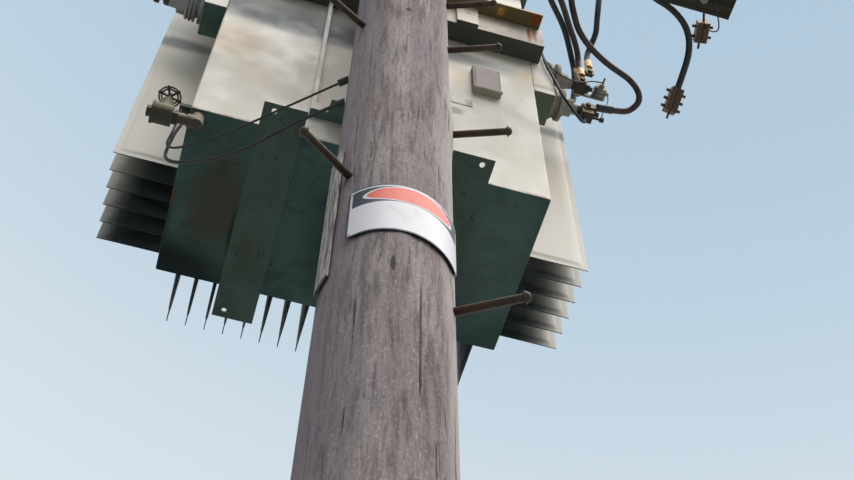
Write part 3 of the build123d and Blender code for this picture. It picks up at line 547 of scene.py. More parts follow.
def makeSteel(name, base, dark, rust, rustAmount, roughness, metallic, scale, marks=()):
    # weathered steel: mottled base, faces below in the second colour as painted shade where it is darker than
    # the base, and rust in patches
    base, dark, rust = lin(*base), lin(*dark), lin(*rust)
    material, tree = newMaterial(name, roughness, metallic, 0.2)
    colour = blendColour(tree, patches(tree, scale, 0.4, 0.7), base, blendColour(tree, 0.5, base, dark))
    spots = patches(tree, scale * 1.7, 0.66 - 0.3 * rustAmount, 0.78 - 0.2 * rustAmount)
    # faces that look down take the second colour, painted shade where it is darker than the base
    colour = addLayers(tree, colour, {"dark": dark, "rust": rust},
                       (("dark", use(tree, "under"), 1.0), ("rust", spots, 0.25 + 0.7 * rustAmount)))
    colour = addSpots(tree, colour, {}, marks, *markShape)
    return finish(material, colour, relief(tree, scale * 14, 0.35, 0.0006),
                  spread(tree, spots, 0, 1, roughness, 0.85))


barLook = {"bar": lin(78, 68, 54), "dark": lin(38, 33, 27), "spot": lin(100, 72, 50), "root": lin(60, 36, 32)}


def makeStepSteel():
    # dull coat on round bars, brown with rust where the bar enters the pole
    material, tree = newMaterial("stepSteel", 0.7, 0.0, 0.12)
    spots = patches(tree, 46, 0.58, 0.7)
    colour = addLayers(tree, barLook["bar"], barLook, (
        ("dark", patches(tree, 30, 0.4, 0.7), 1.0), ("spot", spots, 0.5),
        ("root", attribute(tree, "rootRust"), 1.0)))
    return finish(material, colour, relief(tree, 220, 0.3, 0.0005), spread(tree, spots, 0, 1, 0.5, 0.8))


timberLook = {"pale": lin(154, 144, 143), "mid": lin(122, 112, 112), "dark": lin(70, 62, 65),
              "brown": lin(116, 98, 87), "violet": lin(112, 104, 116), "crack": lin(40, 35, 38),
              "speck": lin(204, 197, 192),
              # noises as (share of the height, scale, detail, roughness, distortion)
              "grain": {"broad": (0.12, 8, 5, 0.55, 0.5), "middle": (0.09, 46, 5, 0.62, 0.5),
                        "fine": (0.10, 170, 4, 0.6, 0.3), "rough": (0.6, 150, 6, 0.75),
                        "thin": (0.045, 62, 4, 0.55, 0.3)}}
# dark marks on the pole as (angle, height above the tank's bottom, half width, half height, strength)
poleMarks = (
    (-94.8, 0.150, 0.012, 0.012, 1.0), (-79, 0.165, 0.004, 0.006, 0.8), (-60.3, -0.70, 0.009, 0.050, 0.7),
    (-86, -0.80, 0.012, 0.030, 0.35), (-99.1, -1.335, 0.006, 0.038, 0.9), (-111.8, -1.43, 0.013, 0.10, 0.5),
    (-179, -1.32, 0.040, 0.10, 0.7), (-67.7, -1.90, 0.012, 0.05, 0.45), (-95, -1.98, 0.014, 0.04, 0.4),
    (-150, -0.89, 0.014, 0.035, 0.6), (-152, 0.11, 0.014, 0.03, 0.6),
)


def makePoleTimber():
    # grey weathered hardwood: upright grain of four sizes, brown and violet tints, dark checks and marks, with
    # painted shade in violet on the left side and a painted pale highlight on the right side
    look = timberLook
    material, tree = newMaterial("poleTimber", 0.9, level=0.2)
    grain = {key: noise(tree, objectPlace(tree, (1, 1, stretch)), *values)
             for key, (stretch, *values) in look["grain"].items()}
    x = objectAxis(tree, "X")
    colour = blendColour(tree, spread(tree, grain["broad"], 0.34, 0.64), look["pale"], look["mid"])
    colour = addLayers(tree, colour, look, (
        ("brown", patches(tree, 3.2, 0.48, 0.7), 0.42), ("violet", patches(tree, 2.3, 0.48, 0.72), 0.5),
        ("dark", spread(tree, grain["middle"], 0.48, 0.66), 0.72),
        ("dark", spread(tree, grain["fine"], 0.46, 0.66), 0.42),
        ("speck", spread(tree, grain["rough"], 0.53, 0.68), 0.34),
        ("dark", spread(tree, grain["rough"], 0.45, 0.34), 0.5),
        # painted shade: violet towards the left side; painted highlight: pale towards the right side
        ("violet", spread(tree, x, -0.02, -0.165), 0.45), ("speck", spread(tree, x, 0.085, 0.150), 0.5)))
    place = spread(tree, noise(tree, objectPlace(tree), 5, 3), 0.42, 0.58)
    thin = calc(tree, "MULTIPLY", spread(tree, grain["thin"], 0.63, 0.665), place)
    cracks = calc(tree, "MAXIMUM", attribute(tree, "checkDepth"), calc(tree, "MULTIPLY", thin, 0.85))
    for angle, height, width, tall, amount in poleMarks:
        z, turn = tankBottom + height, math.radians(angle)
        where = (poleRadius(z) * math.cos(turn), poleRadius(z) * math.sin(turn), z)
        mark = spot(tree, where, (width, width, tall), 0.35 if amount > 0.8 else 0.9, 0.4)
        cracks = calc(tree, "MAXIMUM", cracks, calc(tree, "MULTIPLY", mark, amount))
    height = total(tree, (grain["middle"], 0.7), (grain["fine"], 0.5), (grain["rough"], 0.35), (cracks, -0.8))
    colour = blendColour(tree, cracks, colour, look["crack"])
    return finish(material, colour, bumpNormal(tree, height, 0.8, 0.003))


def makeSawnTimber(name, pale, dark, along):
    # sawn weathered timber with its grain along one axis
    pale, dark = lin(*pale), lin(*dark)
    material, tree = newMaterial(name, 0.88, level=0.2)
    place = objectPlace(tree, along)
    grain = noise(tree, place, 3.0, 7, 0.65, 0.4)
    fibre = noise(tree, place, 9.0, 4, 0.6)
    colour = blendColour(tree, spread(tree, grain, 0.38, 0.62), pale, dark)
    gaps = calc(tree, "MULTIPLY", spread(tree, fibre, 0.5, 0.68), 0.5)
    colour = blendColour(tree, gaps, colour, lin(30, 28, 26))
    return finish(material, colour, bumpNormal(tree, total(tree, (grain, 1.0), (fibre, 0.5)), 0.6, 0.002))


def makeGlaze(name, base, dark, roughness):
    # glazed ware with dust on it
    material, tree = newMaterial(name, roughness)
    dust = patches(tree, 18, 0.42, 0.72)
    return finish(material, blendColour(tree, dust, lin(*base), lin(*dark)), relief(tree, 120, 0.12, 0.0004),
                  spread(tree, dust, 0, 1, roughness, roughness + 0.3))


def makeSheath(name, base, dust, amount):
    # weathered cable sheath: dull black-brown with pale dust in patches
    material, tree = newMaterial(name, 0.55, level=0.2)
    mask = calc(tree, "MULTIPLY", patches(tree, 22, 0.4, 0.75), amount)
    colour = blendColour(tree, mask, lin(*base), lin(*dust))
    return finish(material, colour, relief(tree, 150, 0.25, 0.0004))


# marks on single materials as (colour, place, half sizes, strength)
frameMarks = ((lin(160, 84, 40), (0.551, 0.207, 1.185), (0.013, 0.03, 0.10), 1.0),
              (lin(158, 100, 56), (0.574, 0.207, 1.185), (0.014, 0.03, 0.10), 0.9),
              (lin(150, 120, 90), (0.36, 0.207, 1.13), (0.05, 0.02, 0.025), 0.4),
              # painted shade: dark marks standing in for the slots of the pole saddle's pad plates, which are
              # not cut
              (lin(30, 28, 26), (0.303, 0.192, 1.196), (0.016, 0.02, 0.006), 1.0),
              (lin(30, 28, 26), (-0.303, 0.192, 1.196), (0.016, 0.02, 0.006), 1.0))
angleMarks = ((lin(188, 152, 78), (0.431, 0.174, 1.265), (0.030, 0.030, 0.02), 0.7),
              (lin(170, 92, 48), (0.573, 0.172, 1.265), (0.034, 0.034, 0.02), 0.85))
lugMarks = ((lin(28, 26, 25), (0.870, 0.32, 0.932), (0.16, 0.09, 0.09), 1.0),
            (lin(74, 66, 50), (0.8043, 0.32, 1.150), (0.05, 0.05, 0.055), 0.95),
            (lin(74, 66, 50), (0.8568, 0.335, 1.292), (0.05, 0.05, 0.045), 0.9))
plateMarks = ((lin(226, 220, 210), (0.27, 0.279, 0.58), (0.07, 0.03, 0.08), 1.0),)

# what each function is given for its materials, with display colours in 0 to 255
finishes = {
    makeTankPaint: {"tankPaint": (), "wallPaint": (True,), "skidPaint": (False, 0.45),
                    "pocketPaint": (True, 0.95)},
    makeSawnTimber: {"armTimber": ((82, 76, 66), (48, 44, 38), (1, 30, 30)),
                     "cappingTimber": ((176, 170, 166), (96, 90, 86), (40, 40, 3))},
    makeSteel: {
        "framePaint": ((200, 190, 178), (74, 76, 68), (150, 118, 92), 0.25, 0.5, 0.0, 6, frameMarks),
        "rustySteel": ((196, 164, 112), (118, 104, 68), (150, 90, 48), 0.35, 0.6, 0.0, 8, angleMarks),
        "zincSteel": ((62, 66, 62), (44, 46, 43), (70, 62, 52), 0.1, 0.6, 0.0, 26),
        "pipePaint": ((170, 160, 142), (70, 64, 52), (120, 92, 66), 0.3, 0.6, 0.0, 20),
        "boltSteel": ((138, 130, 116), (100, 92, 78), (140, 80, 42), 0.4, 0.5, 0.4, 40),
        "bronze": ((116, 107, 88), (40, 38, 31), (78, 60, 44), 0.45, 0.6, 0.1, 30),
        "wheelIron": ((84, 54, 50), (56, 36, 34), (54, 44, 40), 0.4, 0.6, 0.0, 50),
        "lugMetal": ((226, 184, 128), (196, 140, 84), (140, 86, 48), 0.2, 0.5, 0.1, 60, lugMarks),
        "clampMetal": ((150, 128, 106), (76, 62, 52), (110, 76, 54), 0.5, 0.6, 0.1, 60),
        "plateMetal": ((120, 108, 100), (176, 166, 150), (150, 120, 92), 0.1, 0.6, 0.0, 14, plateMarks),
        "facePaint": ((144, 130, 129), (116, 104, 102), (150, 120, 92), 0.1, 0.6, 0.0, 10),
        "yellowRust": ((214, 176, 92), (186, 148, 70), (150, 100, 50), 0.3, 0.6, 0.0, 60),
        "orangeRust": ((176, 92, 48), (158, 78, 40), (120, 60, 34), 0.5, 0.7, 0.0, 60)},
    makeGlaze: {
        "greyGlaze": ((140, 134, 122), (92, 86, 76), 0.5), "darkGlaze": ((112, 112, 106), (66, 72, 68), 0.3),
        "brownGlaze": ((70, 46, 38), (92, 76, 66), 0.2)},
    makeSheath: {
        "sheathBrown": ((48, 38, 36), (88, 68, 60), 0.5), "sheathBlue": ((36, 40, 46), (66, 70, 76), 0.4),
        "sheathBlack": ((24, 28, 27), (46, 50, 47), 0.4)},
}
makeFinPaint()
makePoleTimber()
makeStepSteel()
for makeOne, rows in finishes.items():
    for name, row in rows.items():
        makeOne(name, *row)
report("materials")


# Pole

def makePole():
    # radius = taper, less shallow hollows made of slow waves, less narrow upright checks
    look = poleLook
    seen = np.linspace(look["seenFrom"], look["seenTo"], look["seenRows"])
    below = np.linspace(0, look["seenFrom"], look["otherRows"] // 2, endpoint=False)
    above = np.linspace(look["seenTo"], look["height"], look["otherRows"] // 2 + 1)[1:]
    z = np.concatenate([below, seen, above])[:, None]
    angle = np.linspace(0, 2 * math.pi, look["around"], endpoint=False)[None, :]
    hollow = sum(deep * (1 + np.sin(waves * angle + turn * z + start))
                 for deep, waves, turn, start in look["hollows"])
    # one broad swelling on the side of the middle step, as a bell in height and in angle
    away = (angle - math.radians(look["bulgeAngle"]) + math.pi) % (2 * math.pi) - math.pi
    bell = ((z - look["bulgeHeight"]) / look["bulgeTall"]) ** 2 + (away / look["bulgeWide"]) ** 2
    hollow -= look["bulgeRise"] * np.exp(-bell)
    depth = np.zeros(np.broadcast_shapes(z.shape, angle.shape))
    for _ in range(look["checks"]):
        middle, half = rng.uniform(*look["checkMiddle"]), rng.uniform(*look["checkHalf"])
        start, slant = rng.uniform(0, 2 * math.pi), rng.normal(0, look["checkSlant"])
        wave = rng.uniform(*look["checkWave"])
        line = start + slant * (z - middle) + wave * np.sin(9 * (z - middle) + start)
        away = (angle - line + math.pi) % (2 * math.pi) - math.pi
        width, reach = rng.uniform(*look["checkWidth"]), rng.uniform(*look["checkDepth"])
        taper = np.clip(1 - ((z - middle) / half) ** 2, 0, 1) ** 0.5
        depth = np.maximum(depth, reach * taper * np.exp(-(away / width) ** 2 * 2.2))
    radius = poleRadius(z) - hollow - depth
    points = np.stack([radius * np.cos(angle), radius * np.sin(angle), np.broadcast_to(z, radius.shape)], -1)
    lowCap, highCap = (np.full((1, look["around"], 3), (0, 0, end)) for end in (0, look["height"]))
    points = np.concatenate([lowCap, points, highCap])
    cracks = np.pad(np.clip(depth / look["blackDepth"], 0, 1) ** 1.5, ((1, 1), (0, 0)))
    part = (points.reshape(-1, 3), gridQuads(len(points), look["around"], closedCols=True))
    newPiece("poleShaft", [part], "poleTimber", replaces=("pole",), sharp=60,
             attributes={"checkDepth": cracks})


makePole()
report("pole")


# Pole steps

stepLook = {
    "radius": 0.010, "reach": 0.165, "depth": 0.03, "flange": 0.0150, "flangeThick": 0.0035, "head": 0.0125,
    "headLength": 0.011, "collar": 0.003, "collarSwell": 1.05, "edge": 0.0006, "rustFrom": 0.004,
    "rustTo": 0.060,
    "right": ((-30, -1.346), (-20, -0.436), (-20, 0.155), (-20, 0.532), (-20, 1.430), (-20, 2.328)),
    "left": ((-147, -0.873), (-153, 0.127), (-153, 1.075), (-153, 2.023)),
}


def makeSteps(side, node):
    # straight bar, then a thin flange and a domed head whose outline is a quarter circle
    look = stepLook
    bars, rust = [], []
    for angle, height in look[side]:
        z = tankBottom + height
        out = vec(math.cos(math.radians(angle)), math.sin(math.radians(angle)), 0)
        start = vec(0, 0, z) + out * (poleRadius(z) - look["depth"])
        length = look["depth"] + look["reach"]
        r, flange, head = look["radius"], look["flange"], look["head"]
        neck = length - look["headLength"] - look["flangeThick"]
        rim = neck + look["flangeThick"]
        bar = softProfile([(0, 0), (r, 0), (r, neck - look["collar"]), (r * look["collarSwell"], neck),
                           (flange, neck), (flange, rim), (head, rim)], look["edge"])
        bend = np.linspace(0, math.pi / 2, 8)
        dome = np.stack([head * np.cos(bend), rim + look["headLength"] * np.sin(bend)], 1)
        part = lathe(np.concatenate([bar, dome]), start, out, 32)
        bars.append(part)
        along = (part[0] - start) @ out - look["depth"]
        rust.append(1 - smoothStep(look["rustFrom"], look["rustTo"], along))
    newPiece(node + "Piece", bars, "stepSteel", replaces=(node,), sharp=40,
             attributes={"rootRust": np.concatenate(rust)})


makeSteps("right", "step_rods_right")
makeSteps("left", "step_rods_left")


# Sign plate: white field, dark edge, dark head with a plain red oval, and no words

signLook = {"start": -141, "end": -26, "bottom": -1.203, "height": 0.208, "thick": 0.003, "corner": 0.022,
            "clearance": 0.0003, "rows": 60, "cols": 120, "nailShares": (-0.47, 0.47), "nailLow": 0.012,
            "nailHigh": 0.014, "nail": (0.004, 0.005, 0.0035), "ovalHalfWidth": 0.36, "ovalHalfHeight": 0.155,
            "ovalMiddle": 0.785, "headStart": 0.61, "white": lin(200, 199, 206), "dull": lin(176, 174, 176),
            "navy": lin(30, 37, 48), "red": lin(208, 82, 64)}


def makeSignPaint():
    # masks from the plate's own map, u round the pole and v up it, both 0 to 1
    look = signLook
    material, tree = newMaterial("signEnamel", 0.5, level=0.25)
    u, v, _ = splitVector(tree, addNode(tree, "ShaderNodeUVMap", uv_map="UVMap").outputs["UV"])
    away = [calc(tree, "ABSOLUTE", calc(tree, "SUBTRACT", value, middle))
            for value, middle in ((u, 0.5), (v, 0.5), (v, look["ovalMiddle"]))]
    squares = [calc(tree, "POWER", calc(tree, "DIVIDE", away[k], look[key]), 2.0)
               for k, key in ((0, "ovalHalfWidth"), (2, "ovalHalfHeight"))]
    oval = calc(tree, "POWER", calc(tree, "ADD", *squares), 0.5)
    edgeU, edgeV = (calc(tree, "SUBTRACT", 0.5, away[k]) for k in (0, 1))
    edge = calc(tree, "MINIMUM", calc(tree, "MULTIPLY", edgeU, 1.5), edgeV)
    grimeAndShade = patches(tree, 16, 0.5, 0.8)
    colour = addLayers(tree, look["white"], look, (
        ("dull", grimeAndShade, 0.25),
        ("navy", spread(tree, v, look["headStart"] - 0.004, look["headStart"] + 0.004), 1.0),
        ("white", spread(tree, oval, 1.075, 1.055), 1.0), ("red", spread(tree, oval, 0.985, 0.965), 1.0),
        ("white", spread(tree, edge, 0.054, 0.050), 1.0), ("navy", spread(tree, edge, 0.028, 0.024), 1.0)))
    return finish(material, colour, relief(tree, 30, 0.15, 0.0006), spread(tree, grimeAndShade, 0, 1, 0.48, 0.65))


def makeSign():
    # strip of a cylinder whose rows are shortened at the corners by a quarter circle
    look = signLook
    z0 = tankBottom + look["bottom"]
    radius = poleRadius(z0) + look["clearance"]
    arc = math.radians(look["end"] - look["start"])
    width = arc * radius
    v = 0.5 - 0.5 * np.cos(np.linspace(0, math.pi, look["rows"]))
    u = np.linspace(-0.5, 0.5, look["cols"])[None, :]
    rise = np.abs(v - 0.5) * look["height"] - (look["height"] / 2 - look["corner"])
    cut = look["corner"] - np.sqrt(np.maximum(look["corner"] ** 2 - np.maximum(rise, 0) ** 2, 0))
    share = ((width - 2 * cut) / width)[:, None] * u
    angle = math.radians((look["start"] + look["end"]) / 2) + share * arc
    z = np.broadcast_to((z0 + v * look["height"])[:, None], angle.shape)
    points = np.stack([radius * np.cos(angle), radius * np.sin(angle), z], -1)
    uv = np.stack([share + 0.5, np.broadcast_to(v[:, None], share.shape)], -1).reshape(-1, 2)
    part = (points.reshape(-1, 3), gridQuads(look["rows"], look["cols"]))
    piece = newPiece("signPlate", [part], "signEnamel", replaces=("sign_plate",), sharp=50,
                     uv=uv)
    wall = piece.modifiers.new("wall", "SOLIDIFY")
    wall.thickness = look["thick"]
    wall.offset = 1
    wall.use_even_offset = True
    nails, nail = [], steppedOutline([look["nail"]])
    for share in look["nailShares"]:
        for height in (look["nailLow"], look["height"] - look["nailHigh"]):
            angle = math.radians((look["start"] + look["end"]) / 2) + share * arc
            out = vec(math.cos(angle), math.sin(angle), 0)
            nails.append(lathe(nail, out * radius + vec(0, 0, z0 + height), out, 16))
    newPiece("signNails", nails, "boltSteel")


makeSignPaint()
makeSign()
report("sign")


# Cooling fins

finLayout = {"bottom": 0.022, "height": 1.530, "reach": 0.205, "root": 0.013, "tip": 0.009, "seam": 0.0030,
             "seamWidth": 0.016, "sideCount": 6, "sidePitch": 0.064, "sideFirst": 0.510, "backCount": 17,
             "backPitch": 0.063, "tankHalf": 0.575, "tankBack": 0.881, "sideShade": 0.95, "shadeStep": 0.09,
             "backShade": 1.2, "shadeFrom": 0.30, "shadeTo": 1.02}


def finGrid():
    # half thickness over (reach, height): taper from root to tip, pinched to the seam near three edges
    look = finLayout
    t = np.concatenate([np.linspace(0, 0.86, 8), np.linspace(0.88, 1, 10)])
    s = np.concatenate([np.linspace(0, 0.045, 12), np.linspace(0.08, 0.92, 10), np.linspace(0.955, 1, 12)])
    reach, height = t * look["reach"], s * look["height"]
    body = look["root"] + (look["tip"] - look["root"]) * t
    pinch = smoothStep(look["seamWidth"], look["seamWidth"] * 2.1, look["reach"] - reach)[:, None]
    ends = np.minimum(height, look["height"] - height)
    pinch = pinch * smoothStep(look["seamWidth"], look["seamWidth"] * 2.1, ends)[None, :]
    half = (look["seam"] + (body[:, None] - look["seam"]) * pinch) / 2
    x = np.broadcast_to(reach[:, None], half.shape)
    z = np.broadcast_to(height[None, :] + look["bottom"], half.shape)
    return x, half, z


def finParts(places):
    # each place is (corner, out direction, side direction, how strongly painted shade darkens its roots)
    x, half, z = finGrid()
    parts, depths = [], []
    for corner, out, side, dull in places:
        front = corner + x[..., None] * out + half[..., None] * side + z[..., None] * vec(0, 0, 1)
        back = corner + x[..., None] * out - half[..., None] * side + z[..., None] * vec(0, 0, 1)
        # the two faces join along the outline: front rows, then back rows in the other order
        shell = np.concatenate([front, back[::-1]], axis=0)
        low = (shell[:, :1] + shell[::-1][:, :1]) / 2
        high = (shell[:, -1:] + shell[::-1][:, -1:]) / 2
        shell = np.concatenate([low, shell, high], axis=1)
        parts.append((shell.reshape(-1, 3), gridQuads(shell.shape[0], shell.shape[1], closedRows=True)))
        # painted shade share: strongest at the root and fading out towards the tip; a fin shaded more than the
        # side's first shaded fin is also darkened over its whole reach
        deep = (1 - smoothStep(finLayout["shadeFrom"], finLayout["shadeTo"], x / finLayout["reach"])) ** 0.8
        deep = np.clip(deep * dull + max(dull - finLayout["sideShade"], 0) * 1.6, 0, 1)
        deep = np.concatenate([deep, deep[::-1]], axis=0)
        depths.append(np.concatenate([deep[:, :1], deep, deep[:, -1:]], axis=1).ravel())
    return parts, np.concatenate(depths)


def makeFins():
    look = finLayout
    for node, sign in (("fins_left", -1), ("fins_right", 1)):
        # painted shade between the fins: none on each side's first fin, the others shaded at the roots, more
        # fin by fin on the left side, and the back fins most
        places = [(vec(sign * look["tankHalf"], look["sideFirst"] + look["sidePitch"] * k, tankBottom),
                   vec(sign, 0, 0), vec(0, 1, 0),
                   0.0 if k == 0 else look["sideShade"] + look["shadeStep"] * max(k - 1, 0) * (sign < 0))
                  for k in range(look["sideCount"])]
        parts, depth = finParts(places)
        newPiece(pieceName(node), parts, "finPaint", replaces=(node,), sharp=50,
                 attributes={"rootShadeShare": depth})
    first = -look["backPitch"] * (look["backCount"] - 1) / 2
    places = [(vec(first + look["backPitch"] * k, look["tankBack"], tankBottom), vec(0, 1, 0), vec(1, 0, 0),
               look["backShade"]) for k in range(look["backCount"])]
    parts, depth = finParts(places)
    newPiece("finsBack", parts, "finPaint", replaces=("fins_back",), sharp=50,
             attributes={"rootShadeShare": depth})


makeFins()
report("fins")


# Pieces whose form is the node's own, as (node, width of its edges, material, slot), and last
# the piece's name where it isn't the node's

softened = (
    ("tank_body", 0.002, "wallPaint", "tank_paint"),
    ("tank_lid", 0.002, "tankPaint", "tank_paint"),
    ("skids", 0.0012, "skidPaint", "under_paint", "tankSkids"),
    ("lv_pocket", 0.003, "pocketPaint", "tank_paint", "lowPocket"),
    ("hv_pocket", 0.003, "tankPaint", "tank_paint", "highPocket"),
    ("hanger_channel", 0.003, "framePaint", "frame_steel"),
    ("pole_saddle", 0.002, "framePaint", "frame_steel"),
    ("support_angle", 0.002, "rustySteel", "rusty_steel"),
    ("wall_ribs", 0.0015, "tankPaint", "tank_paint"),
    ("lower_bracket", 0.002, "tankPaint", "under_paint"),
    ("through_bolts", 0.001, "boltSteel", "galvanised"),
    ("drain_pipe", 0.001, "pipePaint", "tank_paint"),
    ("valve_body", 0.0015, "bronze", "bronze"),
    ("valve_plug", 0.0012, "bronze", "bronze"),
    ("front_plates", 0.0015, "plateMetal", "plate"),
    ("crossarm", 0.003, "armTimber", "arm_timber", "crossarmBeam"),
    ("cable_capping", 0.002, "cappingTimber", "capping"),
    ("lv_terminals", 0.0012, "bronze", "bronze", "terminalBlocks"),
    ("lv_lugs", 0.001, "lugMetal", "lug_metal", "cableLugs"),
    ("earth_fittings", 0.001, "zincSteel", "galvanised"),
    ("cable_cleat", 0.0015, "zincSteel", "galvanised"),
    ("arm_clamp", 0.001, "clampMetal", "lug_metal"),
    ("line_clamp", 0.001, "clampMetal", "lug_metal"),
    ("surge_arrester", 0.0012, "greyGlaze", "porcelain"),
)
for row in softened:
    softenedNode(*row)


# Bolts under the support angle and the raised face of the rating plate

trimLook = {"bolts": ((0.431, 0.174, "yellowRust"), (0.573, 0.172, "orangeRust")), "boltZ": 1.2648,
            "boltSize": 0.0135, "plateWidth": 0.104, "plateHeight": 0.196, "panelInset": 0.009,
            "panelRise": 0.0022, "panelSink": 0.001, "lipSide": 0.002, "lipHeight": 0.010, "lipRise": 0.006,
            "lipDrop": 0.001, "lipSink": 0.004}


def makeTrim():
    look = trimLook
    for k, (x, y, material) in enumerate(look["bolts"]):
        place = vec(x, y, tankBottom + look["boltZ"])
        newPiece(f"angleBolt{k + 1}", bolt(place, (0, 0, -1), look["boltSize"]), material)
    low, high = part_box("front_plates")
    width = look["plateWidth"]
    x1, z0, y = high[0], high[2] - look["plateHeight"], low[1]
    inset, rise = look["panelInset"], look["panelRise"]
    panel = boxPart((x1 - width + inset, y - rise, z0 + inset * 1.6),
                    (x1 - inset, y + look["panelSink"], high[2] - inset))
    newPiece("ratingFace", [panel], "facePaint")
    lip = boxPart((x1 - width - look["lipSide"], y - look["lipRise"], z0 - look["lipDrop"]),
                  (x1 + look["lipSide"], y + look["lipSink"], z0 + look["lipHeight"]))
    newPiece("ratingLip", [lip], "plateMetal")


makeTrim()
report("trim")


# Handwheel: two rings joined by six lobes, with flat spokes and a hub

wheelLook = {"outer": 0.0335, "inner": 0.0255, "ring": 0.0027, "lobe": 0.0058, "lobeInset": 0.003,
             "hub": 0.0095, "hubHeight": 0.014, "bore": 0.0052, "spokes": 6, "spoke": 0.0036, "turn": 15,
             "sides": 72}


def torusPart(middle, radius, thick, sides):
    around = np.linspace(0, 2 * math.pi, sides, endpoint=False)[:, None]
    ring = np.linspace(0, 2 * math.pi, 14, endpoint=False)[None, :]
    reach = radius + thick * np.cos(ring)
    points = np.stack([reach * np.cos(around), reach * np.sin(around),
                       np.broadcast_to(1.25 * thick * np.sin(ring), (sides, 14))], -1)
    return points.reshape(-1, 3) + middle, gridQuads(sides, 14, closedRows=True, closedCols=True)


def makeWheel():
    look = wheelLook
    low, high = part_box("handwheel")
    middle = (np.array(low) + np.array(high)) / 2
    parts = [torusPart(middle, look[key], look["ring"], look["sides"]) for key in ("outer", "inner")]
    half = look["hubHeight"] / 2
    bore, hubRadius = look["bore"], look["hub"]
    hub = [(bore, -half), (hubRadius * 0.8, -half), (hubRadius, -half * 0.5), (hubRadius, half * 0.5),
           (hubRadius * 0.8, half), (bore, half), (bore, -half)]
    parts.append(lathe(hub, middle, (0, 0, 1), 36))
    for k in range(look["spokes"]):
        angle = math.radians(360 / look["spokes"] * k + look["turn"])
        way = vec(math.cos(angle), math.sin(angle), 0)
        parts.append(rod(middle + way * hubRadius * 0.8, middle + way * look["inner"], look["spoke"], 14))
        bend = np.linspace(-math.pi / 2, math.pi / 2, 9)
        lobe = np.stack([look["lobe"] * np.cos(bend), look["lobe"] * 1.5 * np.sin(bend)], 1)
        parts.append(lathe(lobe, middle + way * (look["outer"] - look["lobeInset"]), way, 20))
    newPiece("handWheel", parts, "wheelIron", "valve_handwheel", ("handwheel",), 50)


makeWheel()
report("softened nodes")


# Bushings and insulators as turned bodies

# each turned body is a row of steps: (length, first radius, last radius)
bushingLook = {
    "face": 0.657, "y": 0.3455, "lowHeights": (0.915, 1.150), "highHeights": (0.927, 1.227, 1.527),
    "lowSteps": [(0.015, 0.062, 0.062), (0.018, 0.042, 0.042), (0.018, 0.062, 0.062), (0.038, 0.034, 0.034),
                 (0.020, 0.022, 0.022)],
    "highSteps": [(0.015, 0.060, 0.060), (0.011, 0.040, 0.040), (0.009, 0.058, 0.056), (0.0055, 0.050, 0.050),
                  (0.009, 0.058, 0.056), (0.0055, 0.050, 0.050), (0.009, 0.056, 0.052), (0.032, 0.042, 0.040),
                  (0.030, 0.026, 0.024)],
    "studStart": 0.100, "studEnd": 0.197, "studRadius": 0.0098, "nutRadius": 0.020,
    # nuts as (distance from the face, height, turn)
    "nuts": ((0.109, 0.016, 0.2), (0.1696, 0.014, 0.5)),
    "tipLength": 0.090, "tipRadius": 0.009, "tipNut": 0.024, "tipNutHeight": 0.018, "nutPitch": 0.036,
    "tipWasher": (0.020, 0.003),
}


def makeBushings():
    look = bushingLook
    low, nuts = [], []
    right, left = vec(1, 0, 0), vec(-1, 0, 0)
    for height in look["lowHeights"]:
        place = vec(look["face"], look["y"], tankBottom + height)
        low.append(lathe(steppedOutline(look["lowSteps"], 0.004), place, right, 56))
        start, end = (place + look[key] * right for key in ("studStart", "studEnd"))
        nuts.append(rod(start, end, look["studRadius"], 20))
        nuts += [hexHead(place + away * right, right, look["nutRadius"], tall, turn)
                 for away, tall, turn in look["nuts"]]
    newPiece("lowBushings", low, "greyGlaze", replaces=("lv_bushings",))
    newPiece("terminalNuts", nuts, "bronze")
    sheds, ends = [], []
    for height in look["highHeights"]:
        place = vec(-look["face"], look["y"], tankBottom + height)
        sheds.append(lathe(steppedOutline(look["highSteps"], 0.003), place, left, 56))
        end = place + sum(step[0] for step in look["highSteps"]) * left
        ends.append(rod(end - 0.01 * left, end + look["tipLength"] * left, look["tipRadius"], 20))
        for k in range(2):
            start = end + look["nutPitch"] * k * left
            ends.append(hexHead(start, left, look["tipNut"], look["tipNutHeight"], 0.3 + 0.4 * k))
            ends.append(washer(start + look["tipNutHeight"] * left, left, *look["tipWasher"]))
    newPiece("highBushings", sheds, "darkGlaze", replaces=("hv_bushings",))
    newPiece("highTerminals", ends, "bronze")


# the outline is (radius, height) from the foot of the insulator up
insulatorLook = {
    "across": (-1.06, -0.42, 0.42, 1.06), "foot": 1.006, "pinLow": 0.100, "pinHigh": 0.034, "pinRadius": 0.008,
    "pinNut": (0.016, 0.014),
    "outline": [(0, 0.031), (0.024, 0.030), (0.038, 0.030), (0.038, 0.040), (0.030, 0.063), (0.024, 0.065),
                (0.024, 0.077), (0.030, 0.079), (0.030, 0.090), (0.024, 0.112), (0, 0.112)],
}


def makeInsulators():
    look = insulatorLook
    parts, pins = [], []
    low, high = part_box("arm_insulators")
    for x in look["across"]:
        place = vec(x, (low[1] + high[1]) / 2, tankBottom + look["foot"])
        pinFoot = place - vec(0, 0, look["pinLow"])
        parts.append(lathe(softProfile(look["outline"], 0.004), place, (0, 0, 1), 40))
        pins.append(rod(pinFoot, place + vec(0, 0, look["pinHigh"]), look["pinRadius"], 20))
        pins.append(hexHead(pinFoot, (0, 0, -1), *look["pinNut"]))
    newPiece("armInsulators", parts, "brownGlaze", replaces=("arm_insulators",))
    newPiece("insulatorPins", pins, "boltSteel")


makeBushings()
makeInsulators()
report("turned bodies")


# Cords by node: the diameter, the real length, the sheath, and the route's points in millimetres
# with heights above the tank's bottom

